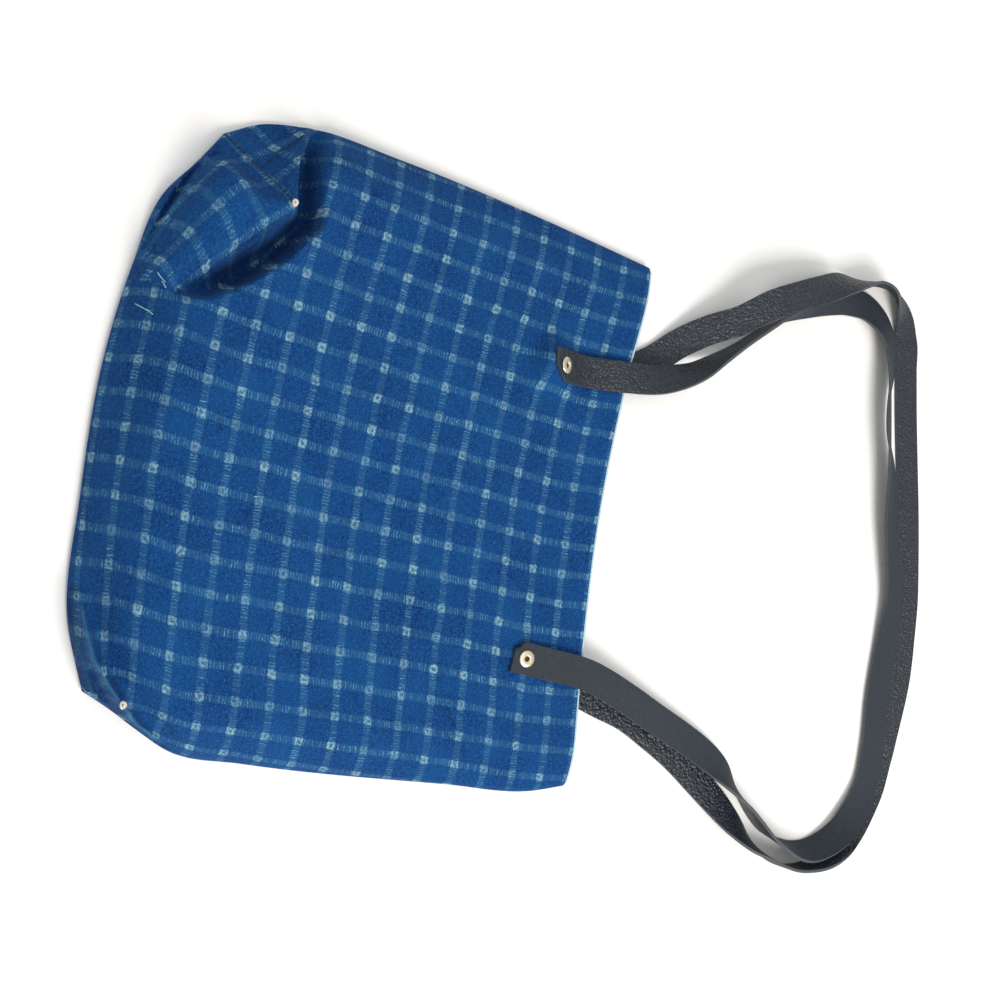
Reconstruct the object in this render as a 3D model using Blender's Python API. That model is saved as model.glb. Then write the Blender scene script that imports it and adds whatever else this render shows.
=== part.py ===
"""Cotton tote bag with a boxed base and two riveted leather handles, lying on its back.

The mouth and the handles point to +Y, the boxed base to -Y, and the front panel faces up.
The base corner at -X stands up as an ear. The one at +X is squashed and tucked under.
All lengths are metres. The origin is on the ground, under the middle of the bounding box.
"""

import math

import bmesh
import bpy
import numpy as np
from mathutils import Matrix, Vector

# Bag body
MOUTH_WIDTH = 0.326  # across the flat mouth
BODY_LENGTH = 0.308  # mouth to base fold, as the bag lies
BASE_DEPTH = 0.058  # front to back of the boxed base
CLOTH = 0.0015  # thickness of the woven cotton
FOLD_HEIGHT = 0.0056  # height of the soft fold at the sides and base
FOLD_ROUND = 0.0036  # width over which that fold rounds over
GUSSET_WIDTH = 0.046  # how far in from the -X side the front panel keeps rising
TUCK_WIDTH = 0.036  # the same at the +X side, where the corner is tucked
LEAST_GAPE = 0.0012  # air left between the panels where a fold presses them together

# Band inside the mouth, whose edge shows as a pale line
FACING_WIDTH = 0.026
FACING_THICK = 0.0010
FACING_LIP = 0.0012  # how far it stands out of the mouth

# Handles
STRAP_WIDTH = 0.019
STRAP_THICK = 0.0020
STRAP_CHAMFER = 0.0055  # corner cut off one side of each strap end
STRAP_STEP = 0.011  # spacing of the sections along a handle
HANDLE_REACH = 0.268  # how far the handles lie out past the mouth
END_MARGIN = 0.0085  # rivet centre to the end of the strap

# Tubular rivets
FLANGE_RADIUS = 0.0050
FLANGE_THICK = 0.0009
SHANK_RADIUS = 0.0023
BORE_RADIUS = 0.0015
WASHER_RADIUS = 0.0042
WASHER_THICK = 0.0008
RIVET_SIDES = 16

GAP = 0.0003  # clearance between pieces that touch
SEAT_RADIUS = 0.0115  # flat patch of cloth clamped by each rivet
SEAT_BLEND = 0.0250  # where the patch has melted into the panel
FINE_STEP = 0.0070  # spacing of the cloth mesh at the -X seat and the folded -X corner
WIDE_STEP = 0.0125  # spacing everywhere else
FINE_ACROSS = 0.34  # share of the bag's width, from the -X side, that the fine mesh covers
FINE_SEAT = (0.10, 0.28)  # shares of its length with fine rows, round the seats
FINE_BASE = 0.66  # share of its length from which the rows are fine, down to the base

# Outline of the bag as it lies: across is a share of MOUTH_WIDTH, along of BODY_LENGTH.
#              across  along
MINUS_SIDE = ((-0.500, 0.000),
              (-0.512, 0.120),
              (-0.532, 0.355),
              (-0.543, 0.560),
              (-0.543, 0.745),
              (-0.524, 0.825),
              (-0.489, 0.885))
PLUS_SIDE = ((0.500, -0.006),
             (0.515, 0.060),
             (0.520, 0.250),
             (0.523, 0.640),
             (0.517, 0.765),
             (0.485, 0.835),
             (0.462, 0.878),
             (0.438, 0.930))
MOUTH_EDGE = ((-0.500, 0.000),
              (-0.300, 0.024),
              (-0.010, 0.037),
              (0.250, 0.022),
              (0.500, -0.006))
BASE_EDGE = ((-0.489, 0.885),
             (-0.430, 0.920),
             (-0.365, 0.963),
             (-0.235, 0.990),
             (-0.090, 1.004),
             (0.140, 0.996),
             (0.330, 0.976),
             (0.438, 0.930))

# Height of the front panel down the middle of the bag, in shares of BASE_DEPTH.
#         along  height
CROWN = ((0.00, 0.25),
         (0.10, 0.25),
         (0.22, 0.28),
         (0.40, 0.34),
         (0.58, 0.44),
         (0.74, 0.56),
         (0.84, 0.64),
         (0.90, 0.57),
         (0.95, 0.38),
         (0.98, 0.22),
         (1.00, 0.08))

# Folds and dents of the front panel. Depth and half_width are shares of BASE_DEPTH,
# and a ridge has a depth under zero. Rows of one fold follow each other along it.
#         fold      across  along   depth  half_width
FOLDS = (("valley", -0.530, 0.735, 0.01, 0.16),
         ("valley", -0.455, 0.738, 0.12, 0.20),
         ("valley", -0.383, 0.745, 0.22, 0.24),
         ("valley", -0.315, 0.780, 0.24, 0.24),
         ("valley", -0.255, 0.830, 0.18, 0.22),
         ("valley", -0.200, 0.885, 0.08, 0.20),
         ("valley", -0.165, 0.930, 0.01, 0.18),
         ("ear", -0.500, 0.800, -0.02, 0.16),
         ("ear", -0.430, 0.805, -0.10, 0.18),
         ("ear", -0.355, 0.850, -0.14, 0.18),
         ("ear", -0.270, 0.930, -0.04, 0.16),
         ("strip", -0.433, 0.905, 0.02, 0.05),
         ("strip", -0.360, 0.932, 0.06, 0.06),
         ("strip", -0.273, 0.966, 0.03, 0.05),
         ("tuck", 0.343, 0.945, 0.01, 0.06),
         ("tuck", 0.403, 0.912, 0.08, 0.07),
         ("tuck", 0.450, 0.868, 0.09, 0.07),
         ("tuck", 0.500, 0.800, 0.01, 0.06),
         ("strap", -0.272, 0.140, 0.07, 0.26),
         ("strap", -0.272, 0.080, 0.06, 0.26),
         ("strap", -0.280, 0.010, 0.02, 0.26),
         ("crease", -0.400, 0.250, 0.01, 0.30),
         ("crease", -0.334, 0.215, 0.05, 0.34),
         ("crease", -0.250, 0.330, 0.03, 0.40),
         ("sag", -0.120, 0.560, 0.02, 0.60),
         ("sag", 0.120, 0.500, 0.06, 0.75),
         ("sag", 0.340, 0.560, 0.02, 0.60))

# Where the rivets sit on the panels. Pitch lifts the base side of the patch and roll
# its +X side, in degrees. Height is a share of BASE_DEPTH above the ground.
#                 across  along  height  pitch  roll
FRONT_SEATS = ((-0.256, 0.185, 0.390, 28.0, 6.0),
               (0.276, 0.147, 0.280, 3.0, 0.0))
BACK_SEATS = ((-0.268, 0.155),
              (0.296, 0.155))

# Where the front handle crosses the mouth's edge, as shares of its width.
MOUTH_CROSSINGS = (-0.271, 0.285)

# Routes of the handles past the mouth. Out is a share of HANDLE_REACH, lift is the height
# of the strap's lower edge in shares of STRAP_WIDTH, and lean turns it about its length:
# 0 lies grain side up, 90 stands on edge, and 180 lies flesh side up.
#                 across   out    lift  lean
FRONT_HANDLE = ((-0.288, 0.068, 0.54, 22),
                (-0.316, 0.142, 0.40, 50),
                (-0.356, 0.209, 0.12, 72),
                (-0.396, 0.270, 0.00, 86),
                (-0.458, 0.357, 0.00, 93),
                (-0.490, 0.409, 0.00, 105),
                (-0.521, 0.469, 0.00, 125),
                (-0.550, 0.536, 0.00, 150),
                (-0.568, 0.605, 0.00, 172),
                (-0.570, 0.654, 0.00, 185),
                (-0.549, 0.705, 0.06, 195),
                (-0.511, 0.739, 0.12, 207),
                (-0.455, 0.755, 0.13, 217),
                (-0.388, 0.760, 0.12, 229),
                (-0.317, 0.775, 0.12, 231),
                (-0.238, 0.807, 0.14, 217),
                (-0.121, 0.839, 0.14, 206),
                (-0.047, 0.867, 0.14, 201),
                (0.029, 0.894, 0.14, 192),
                (0.097, 0.896, 0.13, 183),
                (0.245, 0.894, 0.13, 180),
                (0.351, 0.902, 0.13, 180),
                (0.437, 0.893, 0.13, 174),
                (0.484, 0.864, 0.13, 160),
                (0.524, 0.824, 0.10, 141),
                (0.552, 0.780, 0.05, 129),
                (0.571, 0.732, 0.00, 124),
                (0.573, 0.683, 0.00, 115),
                (0.563, 0.638, 0.00, 105),
                (0.546, 0.590, 0.00, 96),
                (0.520, 0.548, 0.00, 95),
                (0.490, 0.507, 0.00, 103),
                (0.463, 0.470, 0.02, 122),
                (0.432, 0.427, 0.10, 150),
                (0.404, 0.369, 0.20, 168),
                (0.378, 0.298, 0.30, 176),
                (0.348, 0.204, 0.45, 180),
                (0.319, 0.115, 0.60, 180))
BACK_HANDLE = ((-0.307, 0.020, 0.04, 0),
               (-0.330, 0.061, 0.02, 0),
               (-0.373, 0.118, 0.12, 0),
               (-0.411, 0.180, 0.40, 2),
               (-0.444, 0.250, 0.80, 2),
               (-0.489, 0.320, 1.06, 0),
               (-0.526, 0.400, 1.04, 0),
               (-0.559, 0.479, 0.82, 8),
               (-0.588, 0.547, 0.45, 35),
               (-0.606, 0.605, 0.12, 65),
               (-0.615, 0.653, 0.00, 86),
               (-0.617, 0.696, 0.00, 75),
               (-0.600, 0.752, 0.00, 38),
               (-0.570, 0.792, 0.00, 12),
               (-0.534, 0.812, 0.00, 0),
               (-0.462, 0.831, 0.00, 0),
               (-0.381, 0.851, 0.00, 0),
               (-0.267, 0.882, 0.00, 0),
               (-0.170, 0.909, 0.00, 0),
               (-0.050, 0.938, 0.00, 0),
               (0.022, 0.953, 0.00, 0),
               (0.102, 0.961, 0.00, 0),
               (0.186, 0.966, 0.00, 0),
               (0.312, 0.952, 0.00, 0),
               (0.375, 0.942, 0.00, 0),
               (0.430, 0.926, 0.00, -6),
               (0.484, 0.892, 0.00, -18),
               (0.529, 0.852, 0.00, -38),
               (0.565, 0.812, 0.00, -62),
               (0.592, 0.766, 0.00, -80),
               (0.605, 0.721, 0.00, -90),
               (0.608, 0.674, 0.00, -92),
               (0.600, 0.628, 0.00, -90),
               (0.586, 0.587, 0.00, -82),
               (0.566, 0.540, 0.00, -60),
               (0.537, 0.495, 0.00, -34),
               (0.501, 0.441, 0.02, -14),
               (0.466, 0.384, 0.02, -4),
               (0.420, 0.302, 0.02, 0),
               (0.385, 0.223, 0.02, 0),
               (0.355, 0.146, 0.02, 0),
               (0.338, 0.073, 0.03, 0),
               (0.325, 0.020, 0.04, 0))

BACK_RISE = GAP + STRAP_THICK + GAP + FLANGE_THICK + GAP / 2  # back panel over its straps


def smooth_step(x):
    """0 below 0, 1 above 1, and an even S between."""
    x = np.clip(x, 0.0, 1.0)
    return x * x * (3.0 - 2.0 * x)


def curve_through(rows, places=2):
    """A smooth curve through the rows, as a function of the share of its length.

    The first columns, as many as places, are the position that the length is measured in.
    """
    rows = np.array(rows, float)
    steps = np.linalg.norm(np.diff(rows[:, :places], axis=0), axis=1)
    knots = np.concatenate([[0.0], np.cumsum(steps)]) / steps.sum()
    slopes = np.gradient(rows, knots, axis=0)

    def at(share):
        share = np.clip(np.atleast_1d(share), 0.0, 1.0)
        i = np.clip(np.searchsorted(knots, share, side="right") - 1, 0, len(knots) - 2)
        width = (knots[i + 1] - knots[i])[:, None]
        f = ((share - knots[i]) / (knots[i + 1] - knots[i]))[:, None]
        start = (1 + 2 * f) * (1 - f) ** 2 * rows[i] + f * (1 - f) ** 2 * width * slopes[i]
        end = f * f * (3 - 2 * f) * rows[i + 1] + f * f * (f - 1) * width * slopes[i + 1]
        return start + end

    return at, steps.sum()


def plan_curve(rows):
    """An outline table as a curve in metres, mouth to base being -Y."""
    return curve_through([(a * MOUTH_WIDTH, -b * BODY_LENGTH) for a, b in rows])[0]


EDGES = {name: plan_curve(rows) for name, rows in
         (("minus", MINUS_SIDE), ("plus", PLUS_SIDE), ("mouth", MOUTH_EDGE), ("base", BASE_EDGE))}


def plan_point(s, t):
    """Place on the ground of the cloth at share s across and t from mouth to base."""
    s, t = np.broadcast_arrays(np.atleast_1d(s).astype(float), np.atleast_1d(t).astype(float))
    minus, plus = EDGES["minus"](t), EDGES["plus"](t)
    mouth, base = EDGES["mouth"](s), EDGES["base"](s)
    s, past, t = s[:, None], np.minimum(t, 0.0)[:, None], np.clip(t, 0.0, 1.0)[:, None]
    corners = ((1 - s) * (1 - t) * EDGES["minus"](0) + s * (1 - t) * EDGES["plus"](0)
               + (1 - s) * t * EDGES["minus"](1) + s * t * EDGES["plus"](1))
    place = (1 - s) * minus + s * plus + (1 - t) * mouth + t * base - corners
    return place - past * np.array([[0.0, BODY_LENGTH]])


def crown_height(t):
    """Height of the front panel down the middle of the bag."""
    line = curve_through([(along, height) for along, height in CROWN], places=1)[0]
    return line(t)[:, 1] * BASE_DEPTH


def fold_depths(place):
    """How far the folds of the front panel press it down at each place."""
    depth = np.zeros(len(place))
    rows = [(name, np.array([a * MOUTH_WIDTH, -b * BODY_LENGTH]), d * BASE_DEPTH, w * BASE_DEPTH)
            for name, a, b, d, w in FOLDS]
    for name in dict.fromkeys(row[0] for row in rows):
        path = [row[1:] for row in rows if row[0] == name]
        nearest = np.full(len(place), np.inf)
        press = np.zeros(len(place))
        for (a, deep_a, wide_a), (b, deep_b, wide_b) in zip(path, path[1:]):
            f = np.clip((place - a) @ (b - a) / ((b - a) @ (b - a)), 0.0, 1.0)
            off = np.linalg.norm(place - a - f[:, None] * (b - a), axis=1)
            wide = wide_a + f * (wide_b - wide_a)
            found = (deep_a + f * (deep_b - deep_a)) * np.exp(-(off / wide) ** 2)
            press = np.where(off < nearest, found, press)
            nearest = np.minimum(off, nearest)
        depth += press
    return depth


def back_height(place):
    """Height of the back panel: on the ground, and raised over the riveted strap ends."""
    along = -place[:, 1] / BODY_LENGTH
    across = np.abs(place[:, 0]) / MOUTH_WIDTH
    return BACK_RISE * (1 - smooth_step((along - 0.24) / 0.16)) * (1 - smooth_step((across - 0.39) / 0.09))


def seat_of(row):
    """Centre and upward normal of a front seat."""
    across, along, height, pitch, roll = row
    centre = Vector((across * MOUTH_WIDTH, -along * BODY_LENGTH, height * BASE_DEPTH))
    normal = Vector((-math.tan(math.radians(roll)), math.tan(math.radians(pitch)), 1.0)).normalized()
    return centre, normal


def press_seats(place, height):
    """Make the front panel flat where the rivets clamp it."""
    for row in FRONT_SEATS:
        centre, normal = seat_of(row)
        off = place - np.array(centre[:2])
        plane = centre.z - (off @ np.array(normal[:2])) / normal.z
        reach = (np.linalg.norm(off, axis=1) - SEAT_RADIUS) / (SEAT_BLEND - SEAT_RADIUS)
        height = plane + (height - plane) * smooth_step(reach)
    return height


def side_rise(s, place, t):
    """Share of its full height that the front panel has this far in from the side folds."""
    width = np.linalg.norm(EDGES["plus"](t) - EDGES["minus"](t), axis=1)
    rise = np.ones(len(s))
    for inward, reach in ((s * width, GUSSET_WIDTH), ((1 - s) * width, TUCK_WIDTH)):
        rise *= np.sin(np.pi / 2 * np.clip(inward / reach, 0.0, 1.0)) ** 0.75
    return rise


def fold_rounding(s, t):
    """0 on the side and base folds, and 1 once the fold has rounded over."""
    width = np.linalg.norm(EDGES["plus"](t) - EDGES["minus"](t), axis=1)
    inward = np.minimum(np.minimum(s, 1 - s) * width, (1 - np.clip(t, 0.0, 1.0)) * BODY_LENGTH)
    x = np.clip(inward / FOLD_ROUND, 0.0, 1.0)
    return np.sqrt(1 - (1 - x) ** 2)


def cloth_points(around, t):
    """Outer face of the bag: around runs 0 to 1 over the front and 1 to 2 back under it."""
    front = around <= 1.0
    s = np.where(front, around, 2.0 - around)
    place = plan_point(s, t)
    low = back_height(place)
    middle = low + FOLD_HEIGHT / 2
    t_in = np.clip(t, 0.0, 1.0)
    high = FOLD_HEIGHT + (crown_height(t_in) - FOLD_HEIGHT) * side_rise(s, place, t_in)
    high = high + low * (1 - side_rise(s, place, t_in)) - fold_depths(place)
    high = press_seats(place, high)
    least = low + 2 * CLOTH + LEAST_GAPE
    high = np.maximum(high, least + 0.15 * (high - least))
    round_in = fold_rounding(s, t)
    height = np.where(front, middle + (high - middle) * round_in, middle - (middle - low) * round_in)
    return np.column_stack([place, height])


def even_shares(start, end, length, step):
    """Even shares from start up to, but not including, end."""
    count = max(1, round((end - start) * length / step))
    return [start + (end - start) * i / count for i in range(count)]


def column_shares():
    """Places across the bag: two close to each fold, fine steps at -X, then wide ones."""
    near, edge = 0.35 * FOLD_ROUND / MOUTH_WIDTH, 1.05 * FOLD_ROUND / MOUTH_WIDTH
    return ([0.0, near]
            + even_shares(edge, FINE_ACROSS, MOUTH_WIDTH, FINE_STEP)
            + even_shares(FINE_ACROSS, 1 - edge, MOUTH_WIDTH, WIDE_STEP)
            + [1 - edge, 1 - near, 1.0])


def row_shares():
    """Places from mouth to base, finer at the seats and the base, and close to its fold."""
    edge = 1.05 * FOLD_ROUND / BODY_LENGTH
    return (even_shares(0.0, FINE_SEAT[0], BODY_LENGTH, WIDE_STEP)
            + even_shares(*FINE_SEAT, BODY_LENGTH, FINE_STEP)
            + even_shares(FINE_SEAT[1], FINE_BASE, BODY_LENGTH, WIDE_STEP)
            + even_shares(FINE_BASE, 1 - edge, BODY_LENGTH, FINE_STEP)
            + [1 - edge, 1 - edge / 3, 1.0])


def material(name, colour, roughness, metallic=0.0):
    """A Principled material."""
    made = bpy.data.materials.new(name)
    made.use_nodes = True
    shader = made.node_tree.nodes["Principled BSDF"]
    shader.inputs["Base Color"].default_value = (*colour, 1.0)
    shader.inputs["Roughness"].default_value = roughness
    shader.inputs["Metallic"].default_value = metallic
    made.diffuse_color = (*colour, 1.0)
    return made


def add_object(name, bm, made_of):
    """A named object from a bmesh."""
    mesh = bpy.data.meshes.new(name)
    bm.to_mesh(mesh)
    bm.free()
    mesh.materials.append(made_of)
    piece = bpy.data.objects.new(name, mesh)
    bpy.context.scene.collection.objects.link(piece)
    return piece


def grid_from(shares_x, shares_y):
    """A grid of faces and, for each vertex, its two shares."""
    bm = bmesh.new()
    nx, ny = len(shares_x) - 1, len(shares_y) - 1
    bmesh.ops.create_grid(bm, x_segments=nx, y_segments=ny, size=1.0)
    x = [shares_x[round((v.co.x + 1) / 2 * nx)] for v in bm.verts]
    y = [shares_y[round((v.co.y + 1) / 2 * ny)] for v in bm.verts]
    return bm, np.array(x), np.array(y)


def cloth_grid(rows):
    """The cloth as a sleeve round the bag, sewn up where its edges meet."""
    across = column_shares()
    bm, around, t = grid_from(across + [2 - a for a in across[-2::-1]], rows)
    for vertex, point in zip(bm.verts, cloth_points(around, t)):
        vertex.co = point
    bmesh.ops.remove_doubles(bm, verts=bm.verts, dist=1e-6)
    bmesh.ops.triangulate(bm, faces=bm.faces, quad_method="SHORT_EDGE")
    bmesh.ops.recalc_face_normals(bm, faces=bm.faces)
    return bm


def add_wall(piece, thickness, offset):
    """Give an open sheet its thickness."""
    wall = piece.modifiers.new("wall", "SOLIDIFY")
    wall.thickness = thickness
    wall.offset = offset
    wall.use_even_offset = False
    return wall


def face_outward(bm, inside):
    """Turn the sheet's faces away from a point inside it."""
    face = max(bm.faces, key=lambda f: f.calc_center_median().z)
    if face.normal.dot(face.calc_center_median() - inside) < 0:
        bmesh.ops.reverse_faces(bm, faces=bm.faces)
    bm.normal_update()


def make_bag(made_of):
    """The bag: front panel, base, gussets and back panel in one sewn skin, open at the mouth."""
    bm = cloth_grid(row_shares())
    face_outward(bm, Vector((0, -BODY_LENGTH / 2, FOLD_HEIGHT / 2)))
    bag = add_object("bag_body", bm, made_of)
    add_wall(bag, CLOTH, -1.0)
    flat = bag.modifiers.new("flat_faces", "DECIMATE")
    flat.decimate_type = "DISSOLVE"
    flat.angle_limit = math.radians(0.4)
    return bag


def make_facing(made_of):
    """The band sewn inside the mouth, standing a little proud of it."""
    inside = [t for t in row_shares() if t * BODY_LENGTH <= FACING_WIDTH]
    bm = cloth_grid([-FACING_LIP / BODY_LENGTH] + inside)
    face_outward(bm, Vector((0, -FACING_WIDTH / 2, FOLD_HEIGHT / 2)))
    for vertex in bm.verts:
        vertex.co -= vertex.normal * (CLOTH + GAP)
    facing = add_object("mouth_facing", bm, made_of)
    add_wall(facing, FACING_THICK, -1.0)
    return facing


def half_height(lean):
    """From a strap's middle down to its lower edge, leaning this much."""
    return abs(math.sin(lean)) * STRAP_WIDTH / 2 + abs(math.cos(lean)) * STRAP_THICK / 2


def handle_rows(table):
    """The free part of a handle as rows of x, y, lift and lean."""
    return [(across * MOUTH_WIDTH, out * HANDLE_REACH, lift * STRAP_WIDTH, math.radians(lean))
            for across, out, lift, lean in table]


def seated_rows(centre, outward, toward, turned):
    """The riveted end of a strap, flat on its seat and heading toward a point.

    Turned is the whole number of half turns that brings the strap's grain side down.
    """
    heading = Vector(toward[:3]) - centre
    heading = (heading - heading.project(outward)).normalized()
    middle = centre + outward * (GAP + STRAP_THICK / 2)
    side = heading.cross(Vector((0, 0, 1))).normalized()
    up = side.cross(heading)
    grain = outward if outward.z > 0 else -outward
    lean = math.atan2(-grain.dot(side), grain.dot(up)) + turned * math.pi
    places = [middle + heading * END_MARGIN * step for step in (-1.0, 0.0, 1.0, 1.8)]
    return [(place.x, place.y, place.z - half_height(lean), lean) for place in places]


def over_mouth(across, turned):
    """A row of the front handle where it rests on the mouth's edge."""
    edge = cloth_points(np.array([across + 0.5]), np.array([0.0]))[0]
    return (edge[0], edge[1], edge[2] + GAP + FACING_LIP, turned * math.pi)


def front_route():
    """All of the front handle, rivet to rivet, as rows of x, y, lift and lean."""
    free = handle_rows(FRONT_HANDLE)
    enter, leave = over_mouth(MOUTH_CROSSINGS[0], 0), over_mouth(MOUTH_CROSSINGS[1], 1)
    start = seated_rows(*seat_of(FRONT_SEATS[0]), enter, 0)
    end = seated_rows(*seat_of(FRONT_SEATS[1]), leave, 1)
    # The far end heads back to its rivet, so its lean is measured the other way round.
    end = [(x, y, lift, 2 * math.pi - lean) for x, y, lift, lean in end]
    return start + [enter] + free + [leave] + end[::-1]


def back_seat(row):
    """Centre and outward normal of a back seat, on the underside of the bag."""
    across, along = row
    return Vector((across * MOUTH_WIDTH, -along * BODY_LENGTH, BACK_RISE)), Vector((0, 0, -1))


def back_route():
    """All of the back handle, rivet to rivet, as rows of x, y, lift and lean."""
    free = handle_rows(BACK_HANDLE)
    start = seated_rows(*back_seat(BACK_SEATS[0]), free[0], 0)
    end = seated_rows(*back_seat(BACK_SEATS[1]), free[-1], 0)
    return start + free + end[::-1]


def strap_middle(at, share):
    """Middle of a strap, and how it leans, at a share of its length."""
    x, y, lift, lean = at(share)[0]
    return Vector((x, y, max(lift, GAP / 2) + half_height(lean))), lean


def strap_frame(at, share):
    """Middle and width direction of a strap at a share of its length."""
    step = 1e-4
    middle, lean = strap_middle(at, share)
    along = strap_middle(at, min(share + step, 1.0))[0] - strap_middle(at, max(share - step, 0.0))[0]
    side = along.cross(Vector((0, 0, 1))).normalized()
    up = side.cross(along).normalized()
    return middle, side * math.cos(lean) + up * math.sin(lean)


def make_strap(name, route, made_of, cut_sides):
    """A flat leather handle along its route, with one corner cut off at each end.

    The cut sides are 1 or -1: the edge that loses its corner at the start and at the end.
    """
    at, length = curve_through(route, places=3)
    cut = STRAP_CHAMFER / length
    count = round((1 - 2 * cut) * length / STRAP_STEP)
    shares = [0.0] + [cut + (1 - 2 * cut) * i / count for i in range(count + 1)] + [1.0]
    bm, share, across = grid_from(shares, (-1.0, 1.0))
    ends = {0.0: cut_sides[0], 1.0: cut_sides[1]}
    for vertex, where, edge in zip(bm.verts, share, across):
        centre, wide = strap_frame(at, where)
        half = STRAP_WIDTH / 2
        if ends.get(where) == edge:
            half -= STRAP_CHAMFER
        vertex.co = centre + wide * (edge * half)
    bm.normal_update()
    strap = add_object(name, bm, made_of)
    add_wall(strap, STRAP_THICK, 0.0)
    return strap


def turned_about(outward, centre):
    """A matrix that puts +Z along the outward normal at the centre."""
    return Matrix.Translation(centre) @ outward.to_track_quat("Z", "Y").to_matrix().to_4x4()


def make_rivet(name, centre, outward, made_of):
    """A tubular rivet: flange outside the strap, shank through both, washer inside the bag."""
    under = GAP + STRAP_THICK + GAP
    inner = -CLOTH - GAP
    profile = ((BORE_RADIUS, inner - WASHER_THICK),
               (WASHER_RADIUS, inner - WASHER_THICK),
               (WASHER_RADIUS, inner),
               (SHANK_RADIUS, inner),
               (SHANK_RADIUS, under),
               (FLANGE_RADIUS, under),
               (FLANGE_RADIUS, under + FLANGE_THICK * 0.4),
               (FLANGE_RADIUS * 0.8, under + FLANGE_THICK * 0.85),
               (BORE_RADIUS * 1.35, under + FLANGE_THICK),
               (BORE_RADIUS, under + FLANGE_THICK * 0.7))
    bm = bmesh.new()
    verts = [bm.verts.new((radius, 0.0, height)) for radius, height in profile]
    edges = [bm.edges.new((verts[i - 1], verts[i])) for i in range(len(verts))]
    bmesh.ops.spin(bm, geom=verts + edges, axis=(0, 0, 1), cent=(0, 0, 0), dvec=(0, 0, 0),
                   angle=2 * math.pi, steps=RIVET_SIDES, use_merge=True, use_duplicate=False)
    bmesh.ops.remove_doubles(bm, verts=bm.verts, dist=1e-6)
    bmesh.ops.recalc_face_normals(bm, faces=bm.faces)
    rivet = add_object(name, bm, made_of)
    rivet.matrix_world = turned_about(outward, centre)
    rivet.data.shade_smooth()
    rivet.data.set_sharp_from_angle(angle=math.radians(35))
    return rivet


def make_punch(name, centre, outward):
    """A cutter for the holes that a rivet's shank passes through."""
    bm = bmesh.new()
    bmesh.ops.create_cone(bm, cap_ends=True, segments=12, radius1=SHANK_RADIUS + GAP,
                          radius2=SHANK_RADIUS + GAP, depth=4 * STRAP_THICK)
    punch = add_object(name, bm, bpy.data.materials["rivet_metal"])
    punch.matrix_world = turned_about(outward, centre)
    punch.hide_render = True
    punch.display_type = "WIRE"
    return punch


def punch_hole(piece, punch):
    """Cut a punch out of a piece."""
    cut = piece.modifiers.new(punch.name, "BOOLEAN")
    cut.operation = "DIFFERENCE"
    cut.solver = "EXACT"
    cut.object = punch


def centre_on_ground(pieces):
    """Hang all the pieces on one empty that puts the origin under their middle."""
    bpy.context.view_layer.update()
    graph = bpy.context.evaluated_depsgraph_get()
    corners = []
    for piece in pieces:
        if not piece.hide_render:
            shape = piece.evaluated_get(graph)
            corners += [shape.matrix_world @ vertex.co for vertex in shape.data.vertices]
    low = [min(corner[axis] for corner in corners) for axis in range(3)]
    high = [max(corner[axis] for corner in corners) for axis in range(3)]
    whole = bpy.data.objects.new("tote_bag", None)
    bpy.context.scene.collection.objects.link(whole)
    for piece in pieces:
        piece.parent = whole
    whole.location = (-(low[0] + high[0]) / 2, -(low[1] + high[1]) / 2, -low[2])


def main():
    """Clear the scene and build the bag."""
    for old in list(bpy.data.objects):
        bpy.data.objects.remove(old)
    cloth = material("indigo_cotton", (0.009, 0.075, 0.270), 0.90)
    lining = material("pale_facing", (0.350, 0.520, 0.650), 0.90)
    leather = material("charcoal_leather", (0.028, 0.034, 0.042), 0.55)
    metal = material("rivet_metal", (0.780, 0.720, 0.620), 0.30, 1.0)
    bag = make_bag(cloth)
    facing = make_facing(lining)
    front = make_strap("front_handle", front_route(), leather, (1, -1))
    back = make_strap("back_handle", back_route(), leather, (1, 1))
    pieces = [bag, facing, front, back]
    seats = [("front", front, seat_of(row)) for row in FRONT_SEATS]
    seats += [("back", back, back_seat(row)) for row in BACK_SEATS]
    for number, (side, strap, (centre, outward)) in enumerate(seats):
        end = "minus" if number % 2 == 0 else "plus"
        rivet = make_rivet(f"{side}_rivet_{end}", centre, outward, metal)
        punch = make_punch(f"{side}_punch_{end}", centre, outward)
        punch_hole(strap, punch)
        punch_hole(bag, punch)
        pieces += [rivet, punch]
    centre_on_ground(pieces)


main()
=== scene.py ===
"""Indigo check tote bag with leather handles, lying on its back on a pale floor.

The mouth and the handles point to +Y, the boxed base to -Y, and the front panel faces up.
Every length is in metres. Places on the bag are shares of its own sizes.
"""

import math

import bmesh
import bpy
import numpy as np
from bpy.props import FloatProperty, FloatVectorProperty, PointerProperty
from bpy.types import Operator, Panel, PropertyGroup
from mathutils import Matrix, Vector, noise


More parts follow.
